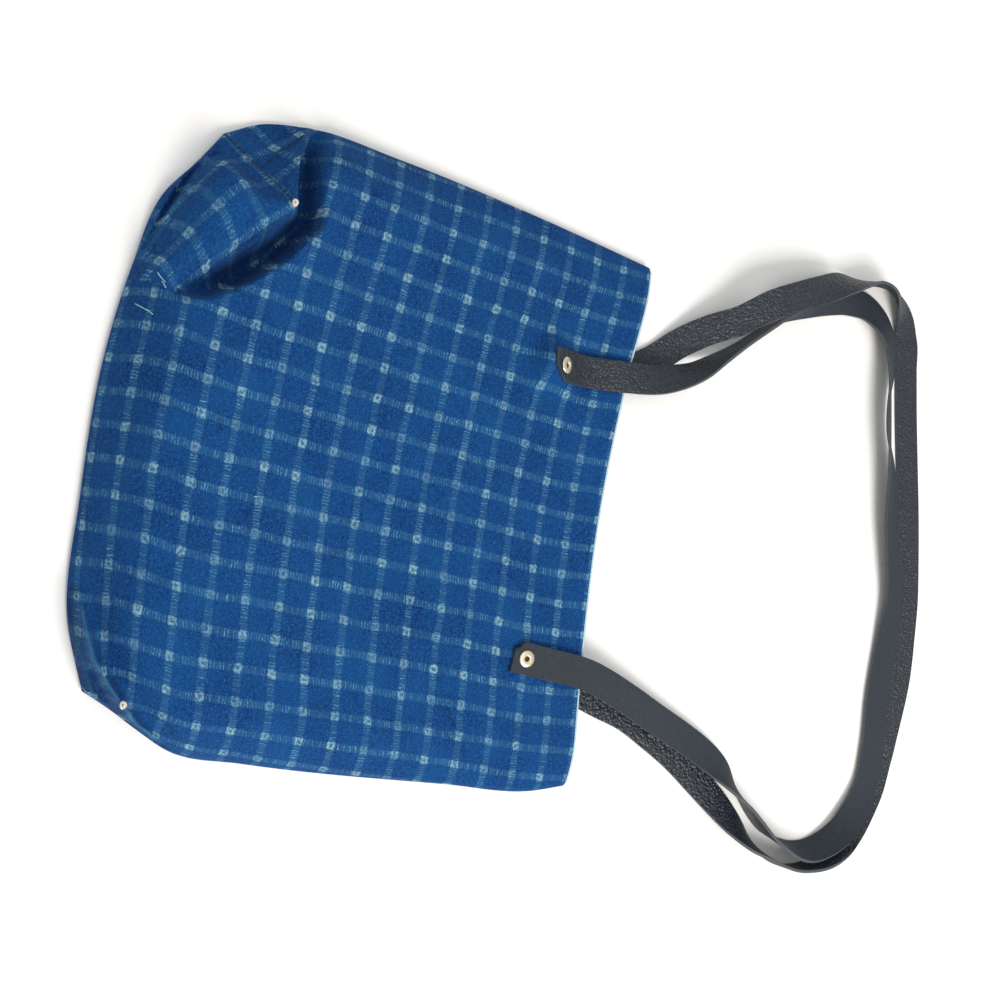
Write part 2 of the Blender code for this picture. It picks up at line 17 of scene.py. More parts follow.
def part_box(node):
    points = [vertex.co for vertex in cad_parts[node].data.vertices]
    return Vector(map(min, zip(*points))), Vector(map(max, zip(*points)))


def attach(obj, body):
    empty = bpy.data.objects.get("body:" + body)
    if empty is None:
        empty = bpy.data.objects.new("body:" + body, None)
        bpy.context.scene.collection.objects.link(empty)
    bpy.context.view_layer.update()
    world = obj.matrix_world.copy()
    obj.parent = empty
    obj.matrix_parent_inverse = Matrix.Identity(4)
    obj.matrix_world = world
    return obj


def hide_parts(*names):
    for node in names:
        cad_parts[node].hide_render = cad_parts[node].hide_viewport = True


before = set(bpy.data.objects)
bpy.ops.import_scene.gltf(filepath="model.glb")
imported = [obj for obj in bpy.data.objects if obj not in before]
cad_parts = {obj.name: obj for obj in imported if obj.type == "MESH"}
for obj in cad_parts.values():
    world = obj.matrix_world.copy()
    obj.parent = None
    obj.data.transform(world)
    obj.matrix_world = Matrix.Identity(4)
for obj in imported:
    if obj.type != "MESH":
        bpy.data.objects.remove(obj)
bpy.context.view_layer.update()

bl_info = {
    "name": "Indigo tote bag",
    "version": (1, 0, 0),
    "blender": (4, 5, 0),
    "location": "View3D > Sidebar > Tote",
    "description": "Woven indigo cotton, leather handles, rivets and thread for a tote bag",
    "category": "Object",
}

# Outline of the bag as it lies: across is a share of the mouth's width, along of the length.
#    across  along
MINUS_SIDE = (
    (-0.500, 0.000),
    (-0.512, 0.120),
    (-0.532, 0.355),
    (-0.543, 0.560),
    (-0.543, 0.745),
    (-0.524, 0.825),
    (-0.489, 0.885))
PLUS_SIDE = (
    (0.500, -0.006),
    (0.515, 0.060),
    (0.520, 0.250),
    (0.523, 0.640),
    (0.517, 0.765),
    (0.485, 0.835),
    (0.462, 0.878),
    (0.438, 0.930))
MOUTH_EDGE = (
    (-0.500, 0.000),
    (-0.300, 0.024),
    (-0.010, 0.037),
    (0.250, 0.022),
    (0.500, -0.006))
BASE_EDGE = (
    (-0.489, 0.885),
    (-0.430, 0.920),
    (-0.365, 0.963),
    (-0.235, 0.990),
    (-0.090, 1.004),
    (0.140, 0.996),
    (0.330, 0.976),
    (0.438, 0.930))

# Height of the front panel down the middle of the bag, in shares of the base's depth.
#    along  height
CROWN = (
    (0.00, 0.25),
    (0.10, 0.25),
    (0.22, 0.28),
    (0.40, 0.34),
    (0.58, 0.44),
    (0.74, 0.56),
    (0.84, 0.64),
    (0.90, 0.57),
    (0.95, 0.38),
    (0.98, 0.22),
    (1.00, 0.08))

# Folds and dents of the front panel. Depth and half_width are shares of the base's depth,
# and a ridge has a depth under zero. Rows of one fold follow each other along it.
#    fold      across  along   depth  half_width
FOLDS = (
    ("strap", -0.272, 0.140, 0.06, 0.22),
    ("strap", -0.272, 0.080, 0.05, 0.22),
    ("strap", -0.280, 0.010, 0.02, 0.22),
    ("sag", -0.120, 0.560, 0.02, 0.60),
    ("sag", 0.120, 0.500, 0.06, 0.75),
    ("sag", 0.340, 0.560, 0.02, 0.60))

# Sharp folds of the boxed corners. The cloth stands at the ridge's height on one side of the
# line and drops to the foot's height on the other. All lengths are shares of the base's depth:
# wall is how wide the drop is, and back how far the cloth takes to rise again past its foot.
#      fold    across  along   ridge  foot   wall   back
SHARP_FOLDS = (
    ("corner", -0.537, 0.739, 0.14, 0.10, 0.05, 0.12),
    ("corner", -0.500, 0.752, 0.34, 0.14, 0.07, 0.13),
    ("corner", -0.470, 0.764, 0.48, 0.16, 0.09, 0.14),
    ("corner", -0.423, 0.764, 0.57, 0.18, 0.12, 0.16),
    ("corner", -0.380, 0.762, 0.63, 0.19, 0.17, 0.17),
    ("corner", -0.343, 0.806, 0.60, 0.19, 0.26, 0.15),
    ("corner", -0.308, 0.848, 0.57, 0.20, 0.29, 0.13),
    ("corner", -0.279, 0.872, 0.54, 0.24, 0.27, 0.12),
    ("corner", -0.251, 0.900, 0.50, 0.34, 0.22, 0.12),
    ("corner", -0.228, 0.940, 0.46, 0.44, 0.16, 0.12),
    ("strip", -0.236, 0.984, 0.18, 0.15, 0.03, 0.05),
    ("strip", -0.284, 0.967, 0.21, 0.10, 0.04, 0.05),
    ("strip", -0.329, 0.952, 0.24, 0.09, 0.04, 0.05),
    ("strip", -0.366, 0.938, 0.24, 0.09, 0.04, 0.05),
    ("strip", -0.412, 0.916, 0.22, 0.10, 0.04, 0.05),
    ("strip", -0.436, 0.900, 0.18, 0.15, 0.03, 0.05),
    ("tuck", 0.501, 0.792, 0.34, 0.30, 0.05, 0.60),
    ("tuck", 0.474, 0.843, 0.52, 0.32, 0.07, 0.60),
    ("tuck", 0.441, 0.881, 0.62, 0.30, 0.08, 0.60),
    ("tuck", 0.412, 0.910, 0.62, 0.28, 0.08, 0.60),
    ("tuck", 0.380, 0.938, 0.58, 0.28, 0.08, 0.60),
    ("tuck", 0.341, 0.955, 0.46, 0.32, 0.07, 0.60),
    ("tuck", 0.296, 0.970, 0.32, 0.28, 0.05, 0.60),
    ("under", 0.457, 0.882, 0.20, 0.16, 0.03, 0.60),
    ("under", 0.443, 0.914, 0.30, 0.14, 0.05, 0.60),
    ("under", 0.397, 0.942, 0.31, 0.14, 0.05, 0.60),
    ("under", 0.358, 0.963, 0.26, 0.14, 0.04, 0.60),
    ("under", 0.333, 0.974, 0.18, 0.14, 0.03, 0.60))

# Past these folds the cloth stays low, and doesn't rise again.
OPEN_FOLDS = ("tuck", "under")

# How pale each sharp fold's edge is drawn, as a share: rubbed wear and a painted highlight.
EDGE_WEAR_AND_HIGHLIGHT = {"corner": 0.05, "strip": 0.20, "tuck": 0.60, "under": 0.45}
PALE_EDGE_WIDTH = 0.0010  # half the width of the pale edge
PALE_EDGE_BACK = 0.0004  # how far its middle lies from the drop

# The flat end of the boxed base between the -X side and its ridge: tip, base end and side end.
#    across  along  height
CORNER_FLAP = (
    (-0.382, 0.766, 0.63),
    (-0.486, 0.887, 0.11),
    (-0.537, 0.745, 0.11))

# How far past its seam, its tip side and its base side the flap has melted into the rest, and
# how far that takes, as shares of its own edges.
#    reach  melt
FLAP_REACH = (
    (1.45, 0.35),
    (0.40, 0.30),
    (0.45, 0.30))

# Places beyond the bag that close the outline of the flap's own weave.
#     across  along
FLAP_OUTSIDE = (
    (-0.216, 1.02),
    (-0.700, 1.10),
    (-0.700, 0.70))

# Where the back panel comes down from over its straps, as shares of the length and of the
# width: where that starts, and how far it takes.
RAISED_ALONG = (0.24, 0.16)
RAISED_ACROSS = (0.39, 0.09)

# Short loose ends of pale thread on the cloth: their middles, direction and length.
#    across  along   degrees  length
LOOSE_THREADS = (
    (-0.216, 0.950, -48, 0.0062),
    (-0.206, 0.944, -36, 0.0040),
    (-0.166, 0.968, -62, 0.0066),
    (-0.160, 0.956, -50, 0.0036),
    (0.437, 0.926, 50, 0.0030),
    (0.459, 0.898, 20, 0.0026),
    (0.090, 0.730, 80, 0.0022))

# Where the rivets sit on the panels. Pitch lifts the base side of the patch and roll
# its +X side, in degrees. Height is a share of the base's depth above the ground.
#      across  along  height  pitch  roll
FRONT_SEATS = (
    (-0.256, 0.185, 0.390, 28.0, 6.0),
    (0.276, 0.147, 0.280, 3.0, 0.0))
BACK_SEATS = (
    (-0.268, 0.155),
    (0.296, 0.155))

# Where the front handle crosses the mouth's edge, as shares of its width.
MOUTH_CROSSINGS = (-0.271, 0.285)

# Routes of the handles past the mouth. Out is a share of their reach, lift is the height
# of the strap's lower edge in shares of its width, and lean turns it about its length:
# 0 lies grain side up, 90 stands on edge, and 180 lies flesh side up.
#     across   out    lift  lean
FRONT_HANDLE = (
    (-0.288, 0.068, 0.54, 22),
    (-0.316, 0.142, 0.40, 50),
    (-0.356, 0.209, 0.12, 72),
    (-0.396, 0.270, 0.00, 86),
    (-0.458, 0.357, 0.00, 93),
    (-0.490, 0.409, 0.00, 105),
    (-0.521, 0.469, 0.00, 125),
    (-0.550, 0.536, 0.00, 150),
    (-0.568, 0.605, 0.00, 172),
    (-0.570, 0.654, 0.00, 185),
    (-0.549, 0.705, 0.06, 195),
    (-0.511, 0.739, 0.12, 207),
    (-0.455, 0.755, 0.13, 217),
    (-0.388, 0.760, 0.12, 229),
    (-0.317, 0.775, 0.12, 231),
    (-0.238, 0.807, 0.14, 217),
    (-0.121, 0.839, 0.14, 206),
    (-0.047, 0.867, 0.14, 201),
    (0.029, 0.894, 0.14, 192),
    (0.097, 0.896, 0.13, 183),
    (0.245, 0.894, 0.13, 180),
    (0.351, 0.902, 0.13, 180),
    (0.437, 0.893, 0.13, 174),
    (0.484, 0.864, 0.13, 160),
    (0.524, 0.824, 0.10, 141),
    (0.552, 0.780, 0.05, 129),
    (0.571, 0.732, 0.00, 124),
    (0.573, 0.683, 0.00, 115),
    (0.563, 0.638, 0.00, 105),
    (0.546, 0.590, 0.00, 96),
    (0.520, 0.548, 0.00, 95),
    (0.490, 0.507, 0.00, 103),
    (0.463, 0.470, 0.02, 122),
    (0.432, 0.427, 0.10, 150),
    (0.404, 0.369, 0.20, 168),
    (0.378, 0.298, 0.30, 176),
    (0.348, 0.204, 0.45, 180),
    (0.319, 0.115, 0.60, 180))
BACK_HANDLE = (
    (-0.307, 0.020, 0.04, 0),
    (-0.330, 0.061, 0.02, 0),
    (-0.373, 0.118, 0.12, 0),
    (-0.411, 0.180, 0.40, 2),
    (-0.444, 0.250, 0.80, 2),
    (-0.489, 0.320, 1.06, 0),
    (-0.526, 0.400, 1.04, 0),
    (-0.559, 0.479, 0.82, 8),
    (-0.588, 0.547, 0.45, 35),
    (-0.606, 0.605, 0.12, 65),
    (-0.615, 0.653, 0.00, 86),
    (-0.617, 0.696, 0.00, 75),
    (-0.600, 0.752, 0.00, 38),
    (-0.570, 0.792, 0.00, 12),
    (-0.534, 0.812, 0.00, 0),
    (-0.462, 0.831, 0.00, 0),
    (-0.381, 0.851, 0.00, 0),
    (-0.267, 0.882, 0.00, 0),
    (-0.170, 0.909, 0.00, 0),
    (-0.050, 0.938, 0.00, 0),
    (0.022, 0.953, 0.00, 0),
    (0.102, 0.961, 0.00, 0),
    (0.186, 0.966, 0.00, 0),
    (0.312, 0.952, 0.00, 0),
    (0.375, 0.942, 0.00, 0),
    (0.430, 0.926, 0.00, -6),
    (0.484, 0.892, 0.00, -18),
    (0.529, 0.852, 0.00, -38),
    (0.565, 0.812, 0.00, -62),
    (0.592, 0.766, 0.00, -80),
    (0.605, 0.721, 0.00, -90),
    (0.608, 0.674, 0.00, -92),
    (0.600, 0.628, 0.00, -90),
    (0.586, 0.587, 0.00, -82),
    (0.566, 0.540, 0.00, -60),
    (0.537, 0.495, 0.00, -34),
    (0.501, 0.441, 0.02, -14),
    (0.466, 0.384, 0.02, -4),
    (0.420, 0.302, 0.02, 0),
    (0.385, 0.223, 0.02, 0),
    (0.355, 0.146, 0.02, 0),
    (0.338, 0.073, 0.03, 0),
    (0.325, 0.020, 0.04, 0))

# Seams of the boxed base at the -X corner, and the thread knots at its two corners.
#    across  along
CORNER_SEAM = (
    (-0.382, 0.766),
    (-0.434, 0.825),
    (-0.486, 0.887))
SIDE_SEAM = (
    (-0.434, 0.825),
    (-0.480, 0.790),
    (-0.520, 0.755))
CORNER_KNOTS = (
    (-0.382, 0.766),
    (0.439, 0.880))

CLOTH = 0.0015  # thickness of the woven cotton
GAP = 0.0003  # clearance between pieces that touch
FOLD_HEIGHT = 0.0056  # height of the soft fold at the sides and base
FOLD_ROUND = 0.0036  # width over which that fold rounds over
GUSSET_WIDTH = 0.046  # how far in from the -X side the front panel keeps rising
TUCK_WIDTH = 0.036  # the same at the +X side
SIDE_SWELL = 0.75  # power of the sides' rise: a lower one is fuller
LEAST_GAPE = 0.0012  # air left between the panels where a fold presses them together
PRESS_KEPT = 0.15  # share of a deeper press that still shows
LINING_WIDTH = 0.026  # band inside the mouth
LINING_THICK = 0.0010
LINING_LIP = 0.0012  # how far the straps clear the mouth's edge
BAND_LIP = 0.0021  # how far the pale band shows past the cloth
CLOTH_STEP = 0.0017  # spacing of the cloth's mesh across the front
ROW_STEP = 0.0026  # spacing of its rows down the bag
FINE_ROW_STEP = 0.0014  # the same over the boxed base
FINE_FROM = 0.70  # share of the length where the fine rows begin
BACK_STEP = 0.0080  # spacing of the cloth's mesh under the back
BAND_STEP = 0.0040  # spacing of the band's mesh
BAND_BACK_STEP = 0.0060  # the same under the back
PUCKER_DEPTH = 0.0009  # depth of the puckers of washed cotton
PUCKER_FADE = 0.03  # how far from a rivet they reach their full depth
WIDE_PUCKER = 1 / 22.0  # about 45 mm apart
SMALL_PUCKER = 1 / 95.0  # about 10 mm apart
STRAP_STEP = 0.0030  # spacing of a strap's mesh along it
CUT_STEP = 0.0016  # the same at its ends
EDGE_ROUND = 0.00035  # how far the straps' edges are worn round
STRAP_CHAMFER = 0.0055  # corner cut off one side of each strap end
UPPER_CHAMFER = 0.0085  # the same at the front strap's end by the -X rivet
END_MARGIN = 0.0085  # rivet centre to the end of the strap
FLANGE_RADIUS = 0.0050
FLANGE_THICK = 0.0009
SHANK_RADIUS = 0.0023
BORE_RADIUS = 0.0015
WASHER_RADIUS = 0.0042
WASHER_THICK = 0.0008
RIVET_SIDES = 40
SEAT_RADIUS = 0.0072  # flat patch of cloth clamped by each rivet
SEAT_BLEND = 0.0240  # where the patch has melted into the panel
RIDGE_SPREAD = 0.11  # how far a sharp ridge lifts the cloth beside it, as a share of the base
FULL_SHADE_DROP = 0.30  # drop, as a share of the base, under which the cloth gets its full painted shade
FOLD_END = 0.12  # how far from its ends a sharp fold has its full height, as a share of the base
THREAD_SIDES = 6
STITCH_PITCH = 0.0032  # of the seams at the -X corner
STITCH_RADIUS = 0.00042
KNOT_RADIUS = 0.0011  # of the loops that make up a corner knot
KNOT_THREAD_RADIUS = 0.00050
LOOSE_RADIUS = 0.00028

CAMERA_PLACE = (0.0644, -0.3915, 0.669)  # before the shift that centres the part
CAMERA_DOWN = 64.0  # degrees below level
CAMERA_TURN = 11.3  # degrees from +Y towards -X
CAMERA_LENS = 45.0  # millimetres
CAMERA_SENSOR = 36.0  # millimetres

ROOM_COLOUR = "#f8f7f3"
ROOM_LIGHT = 0.66
#     name       place             size power  colour
LIGHTS = (
    ("window", (1.3, 0.5, 1.5), 0.9, 33.0, "#fffaf2"),
    ("ceiling", (-0.2, 0.1, 2.2), 1.8, 7.0, "#f2f7ff"))


def linear(colour):
    """An sRGB hex colour as linear red, green, blue and alpha."""
    parts = [int(colour[i:i + 2], 16) / 255 for i in (1, 3, 5)]
    return tuple(c / 12.92 if c <= 0.04045 else ((c + 0.055) / 1.055) ** 2.4 for c in parts) + (1.0,)


def smooth_step(x):
    """0 below 0, 1 above 1, and an even S between."""
    x = np.clip(x, 0.0, 1.0)
    return x * x * (3.0 - 2.0 * x)


def curve_through(rows, places=2):
    """A smooth curve through the rows, as a function of the share of its length.

    The first columns, as many as places, are the position that the length is measured in.
    """
    rows = np.array(rows, float)
    steps = np.linalg.norm(np.diff(rows[:, :places], axis=0), axis=1)
    knots = np.concatenate([[0.0], np.cumsum(steps)]) / steps.sum()
    slopes = np.gradient(rows, knots, axis=0)

    def at(share):
        share = np.clip(np.atleast_1d(share), 0.0, 1.0)
        i = np.clip(np.searchsorted(knots, share, side="right") - 1, 0, len(knots) - 2)
        width = (knots[i + 1] - knots[i])[:, None]
        f = ((share - knots[i]) / (knots[i + 1] - knots[i]))[:, None]
        start = (1 + 2 * f) * (1 - f) ** 2 * rows[i] + f * (1 - f) ** 2 * width * slopes[i]
        end = f * f * (3 - 2 * f) * rows[i + 1] + f * f * (f - 1) * width * slopes[i + 1]
        return start + end

    return at, steps.sum()


class BagForm:
    """The lie of the bag on the table, worked out from its sizes."""

    def __init__(self, size):
        self.width = size.mouth_width
        self.length = size.body_length
        self.depth = size.base_depth
        self.reach = size.handle_reach
        self.strap_width = size.strap_width
        self.strap_thick = size.strap_thick
        self.back_rise = GAP + self.strap_thick + GAP + FLANGE_THICK + GAP / 2
        self.edges = {name: self.plan_curve(rows) for name, rows in
                      (("minus", MINUS_SIDE), ("plus", PLUS_SIDE),
                       ("mouth", MOUTH_EDGE), ("base", BASE_EDGE))}
        self.sharp_lines = self.fold_lines(SHARP_FOLDS)
        self.flap = [np.array((a * self.width, -b * self.length, h * self.depth))
                     for a, b, h in CORNER_FLAP]
        # The frame's rivet shows how far the whole part was moved to centre it.
        seat = Vector((BACK_SEATS[0][0] * self.width, -BACK_SEATS[0][1] * self.length, 0))
        low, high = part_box("back_rivet_minus")
        middle = (Vector(low) + Vector(high)) / 2
        self.shift = Vector((middle.x - seat.x, middle.y - seat.y, 0))

    def plan_curve(self, rows):
        """An outline table as a curve in metres, mouth to base being -Y."""
        return curve_through([(a * self.width, -b * self.length) for a, b in rows])[0]

    def place(self, across, along):
        """A place on the ground from its shares."""
        return np.array([[across * self.width, -along * self.length]])

    def plan_point(self, s, t):
        """Place on the ground of the cloth at share s across and t from mouth to base."""
        s, t = np.broadcast_arrays(np.atleast_1d(s).astype(float), np.atleast_1d(t).astype(float))
        minus, plus = self.edges["minus"](t), self.edges["plus"](t)
        mouth, base = self.edges["mouth"](s), self.edges["base"](s)
        s, past, t = s[:, None], np.minimum(t, 0.0)[:, None], np.clip(t, 0.0, 1.0)[:, None]
        corners = ((1 - s) * (1 - t) * self.edges["minus"](0) + s * (1 - t) * self.edges["plus"](0)
                   + (1 - s) * t * self.edges["minus"](1) + s * t * self.edges["plus"](1))
        place = (1 - s) * minus + s * plus + (1 - t) * mouth + t * base - corners
        return place - past * np.array([[0.0, self.length]])

    def shares_at(self, across, along):
        """The shares s and t of a place on the ground, by a few corrections."""
        s, t = across + 0.5, along
        goal = self.place(across, along)[0]
        for _ in range(12):
            off = goal - self.plan_point(s, t)[0]
            s += off[0] / self.width
            t -= off[1] / self.length
        return s, t

    def crown_height(self, t):
        """Height of the front panel down the middle of the bag."""
        return curve_through(CROWN, places=1)[0](t)[:, 1] * self.depth

    def fold_lines(self, table):
        """A table's folds by name, as rows of x, y and their lengths in metres."""
        lines = {}
        for name, across, along, *lengths in table:
            row = (across * self.width, -along * self.length, *[v * self.depth for v in lengths])
            lines.setdefault(name, []).append(row)
        return lines

    def along_fold(self, place, path):
        """Signed distance to a fold's line, plus on its left, and its values beside each place."""
        nearest = np.full(len(place), np.inf)
        beside = np.zeros((len(place), len(path[0]) - 2))
        path = np.array(path)
        for a, b in zip(path, path[1:]):
            run = b[:2] - a[:2]
            f = np.clip((place - a[:2]) @ run / (run @ run), 0.0, 1.0)
            off = place - a[:2] - f[:, None] * run
            far = np.linalg.norm(off, axis=1)
            left = np.where(run[0] * off[:, 1] - run[1] * off[:, 0] > 0, far, -far)
            found = a[2:] + f[:, None] * (b[2:] - a[2:])
            closer = far < np.abs(nearest) - 1e-9
            beside[closer] = found[closer]
            nearest = np.where(closer, left, nearest)
        return nearest, beside

    def fold_depths(self, place):
        """How far the folds of the front panel press it down at each place."""
        depth = np.zeros(len(place))
        for path in self.fold_lines(FOLDS).values():
            off, beside = self.along_fold(place, path)
            press, wide = beside.T
            depth += press * np.exp(-(off / wide) ** 2)
        return depth

    def flap_height(self, place, height):
        """Flatten the end of the boxed base at the -X corner."""
        tip, base, side = self.flap
        across = np.linalg.solve(np.column_stack([(tip - side)[:2], (base - side)[:2]]),
                                 (place - side[:2]).T)
        plane = side[2] + across[0] * (tip[2] - side[2]) + across[1] * (base[2] - side[2])
        # The seam from the tip to the base is where the flat end meets the rest of the base.
        share = np.ones(len(place))
        for inside, (reach, melt) in zip((-across[0] - across[1], across[0], across[1]), FLAP_REACH):
            share *= smooth_step((inside + reach) / melt)
        return height + (plane - height) * share

    def fold_sharply(self, place, height):
        """Shape the boxed corners, and give each place's share of pale fold edge and of painted
        shade.
        """
        height = self.flap_height(place, height)
        edge_wear_and_highlight, fold_shade = np.zeros(len(place)), np.zeros(len(place))
        spread = RIDGE_SPREAD * self.depth
        for name, path in self.sharp_lines.items():
            off, beside = self.along_fold(place, path)
            ridge, foot, wall, back = beside.T
            ends = [np.array(path[0][:2]), np.array(path[-1][:2])]
            near_end = np.min([np.linalg.norm(place - end, axis=1) for end in ends], axis=0)
            inside = smooth_step(near_end / (FOLD_END * self.depth) + 0.25)
            lift = np.exp(-(off / (1.3 * np.minimum(wall, spread))) ** 2) * inside
            raised = height + (ridge - height) * lift
            drop = smooth_step(off / wall) * (1 - smooth_step((off - wall) / back)) * inside
            # Painted shade: the deeper the fold's drop, the darker the cloth past it is drawn.
            fold_shade_share = drop * smooth_step((ridge - foot) / (FULL_SHADE_DROP * self.depth))
            if name in OPEN_FOLDS:
                drop = smooth_step(off / wall) * inside
                fold_shade_share = drop * (1 - smooth_step((off - wall) / spread))
            lowered = np.minimum(height, foot)
            height = np.where(off > 0, raised + (lowered - raised) * drop, raised)
            # Pale line along the edge of the drop: rubbed wear and a painted highlight.
            near_edge = np.exp(-((off + PALE_EDGE_BACK) / PALE_EDGE_WIDTH) ** 2) * inside
            edge_wear_and_highlight = np.maximum(edge_wear_and_highlight, near_edge * EDGE_WEAR_AND_HIGHLIGHT[name])
            fold_shade = np.maximum(fold_shade, fold_shade_share * (off > 0))
        return height, edge_wear_and_highlight, fold_shade

    def flap_axes(self):
        """The flap's tip and two directions in its plane: along its seam and square to it."""
        tip, base, side = map(Vector, self.flap)
        along = (base - tip).normalized()
        across = (side - tip) - (side - tip).project(along)
        return tip, across.normalized(), along

    def down_wall(self, points, height):
        """How much further the flap's cloth runs than on plan, where it goes down its wall."""
        line = np.array(self.sharp_lines["corner"])
        far = np.linalg.norm(points[:, None, :2] - line[None, :, :2], axis=2)
        share = 1 / far.clip(1e-4) ** 3
        nearest = (share / share.sum(axis=1)[:, None]) @ line[:, :3]
        away = points[:, :2] - nearest[:, :2]
        away /= np.linalg.norm(away, axis=1).clip(1e-6)[:, None]
        return away * (nearest[:, 2] - height).clip(0.0)[:, None]

    def on_flap(self, place):
        """True where the weave runs with the end of the base, not with the front panel."""
        line = np.array(self.sharp_lines["corner"])
        run = np.gradient(line[:, :2], axis=0)
        run /= np.linalg.norm(run, axis=1)[:, None]
        # The flap's cloth runs on down the wall to the foot of the fold.
        foot = line[:, :2] + np.column_stack([-run[:, 1], run[:, 0]]) * line[:, 4:5]
        outline = [*map(tuple, foot)]
        outline += [(a * self.width, -b * self.length) for a, b in FLAP_OUTSIDE]
        inside = np.zeros(len(place), bool)
        for (x0, y0), (x1, y1) in zip(outline, outline[1:] + outline[:1]):
            crosses = (y0 > place[:, 1]) != (y1 > place[:, 1])
            at = x0 + (place[:, 1] - y0) / (y1 - y0 if y1 != y0 else 1e-9) * (x1 - x0)
            inside ^= crosses & (place[:, 0] < at)
        return inside

    def back_height(self, place):
        """Height of the back panel: on the ground, and raised over the riveted strap ends."""
        along = -place[:, 1] / self.length
        across = np.abs(place[:, 0]) / self.width
        rise = self.back_rise
        for share, (start, melt) in ((along, RAISED_ALONG), (across, RAISED_ACROSS)):
            rise = rise * (1 - smooth_step((share - start) / melt))
        return rise

    def seat_of(self, row):
        """Centre and upward normal of a front seat."""
        across, along, height, pitch, roll = row
        centre = Vector((across * self.width, -along * self.length, height * self.depth))
        normal = Vector((-math.tan(math.radians(roll)), math.tan(math.radians(pitch)), 1.0))
        return centre, normal.normalized()

    def back_seat(self, row):
        """Centre and outward normal of a back seat, on the underside of the bag."""
        across, along = row
        centre = Vector((across * self.width, -along * self.length, self.back_rise))
        return centre, Vector((0, 0, -1))

    def press_seats(self, place, height):
        """Make the front panel flat where the rivets clamp it."""
        for row in FRONT_SEATS:
            centre, normal = self.seat_of(row)
            off = place - np.array(centre[:2])
            far = np.linalg.norm(off, axis=1)
            near = off * np.minimum(1.0, SEAT_RADIUS / np.maximum(far, 1e-9))[:, None]
            plane = centre.z - (near @ np.array(normal[:2])) / normal.z
            reach = (far - SEAT_RADIUS) / (SEAT_BLEND - SEAT_RADIUS)
            height = plane + (height - plane) * smooth_step(reach)
        return height

    def side_gap(self, t):
        """Distance between the two side folds."""
        return np.linalg.norm(self.edges["plus"](t) - self.edges["minus"](t), axis=1)

    def side_rise(self, s, t):
        """Share of its full height that the front panel has this far in from the sides."""
        width = self.side_gap(t)
        rise = np.ones(len(s))
        for inward, reach in ((s * width, GUSSET_WIDTH), ((1 - s) * width, TUCK_WIDTH)):
            rise *= np.sin(np.pi / 2 * np.clip(inward / reach, 0.0, 1.0)) ** SIDE_SWELL
        return rise

    def fold_rounding(self, s, t):
        """0 on the side and base folds, and 1 once the fold has rounded over."""
        inward = np.minimum(s, 1 - s) * self.side_gap(t)
        inward = np.minimum(inward, (1 - np.clip(t, 0.0, 1.0)) * self.length)
        x = np.clip(inward / FOLD_ROUND, 0.0, 1.0)
        return np.sqrt(1 - (1 - x) ** 2)

    def cloth_points(self, around, t, folded=True):
        """Outer face of the bag: around runs 0 to 1 over the front and 1 to 2 back under it."""
        front = around <= 1.0
        s = np.where(front, around, 2.0 - around)
        place = self.plan_point(s, t)
        low = self.back_height(place)
        middle = low + FOLD_HEIGHT / 2
        t_in = np.clip(t, 0.0, 1.0)
        rise = self.side_rise(s, t_in)
        high = FOLD_HEIGHT + (self.crown_height(t_in) - FOLD_HEIGHT) * rise
        high = high + low * (1 - rise)
        if folded:
            high = self.fold_sharply(place, high - self.fold_depths(place))[0]
            high = self.press_seats(place, high)
        least = low + 2 * CLOTH + LEAST_GAPE
        high = np.maximum(high, least + PRESS_KEPT * (high - least))
        round_in = self.fold_rounding(s, t)
        height = np.where(front, middle + (high - middle) * round_in,
                          middle - (middle - low) * round_in)
        return np.column_stack([place, height])

    def front_point(self, across, along, lift=0.0):
        """A point on the front panel, or this much above it."""
        s, t = self.shares_at(across, along)
        point = self.cloth_points(np.array([s]), np.array([t]))[0]
        return Vector(point) + Vector((0, 0, lift))


def grid_from(shares_x, shares_y):
    """A grid of faces and, for each vertex, its two shares."""
    bm = bmesh.new()
    nx, ny = len(shares_x) - 1, len(shares_y) - 1
    bmesh.ops.create_grid(bm, x_segments=nx, y_segments=ny, size=1.0)
    x = [round((v.co.x + 1) / 2 * nx) for v in bm.verts]
    y = [round((v.co.y + 1) / 2 * ny) for v in bm.verts]
    return bm, np.array(x), np.array(y)


def even_shares(start, end, length, step):
    """Even shares from start up to, but not including, end."""
    count = max(1, round((end - start) * length / step))
    return [start + (end - start) * i / count for i in range(count)]


def round_fold(length):
    """Places close to a fold, from the fold inwards, as shares of a length."""
    return [FOLD_ROUND * share / length for share in (0.0, 0.12, 0.35, 0.7, 1.1)]


def add_piece(name, bm, materials, shift, stands_for):
    """A finished piece in the part's own place, riding on the bag."""
    mesh = bpy.data.meshes.new(name)
    bm.to_mesh(mesh)
    bm.free()
    mesh.transform(Matrix.Translation(shift))
    for made_of in materials:
        mesh.materials.append(made_of)
    mesh.shade_smooth()
    piece = bpy.data.objects.new(name, mesh)
    bpy.context.scene.collection.objects.link(piece)
    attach(piece, "root")
    if stands_for:
        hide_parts(*stands_for)
    return piece


def add_wall(piece, thickness, offset):
    """Give an open sheet its thickness."""
    wall = piece.modifiers.new("wall", "SOLIDIFY")
    wall.thickness = thickness
    wall.offset = offset
    wall.use_even_offset = False
    return wall


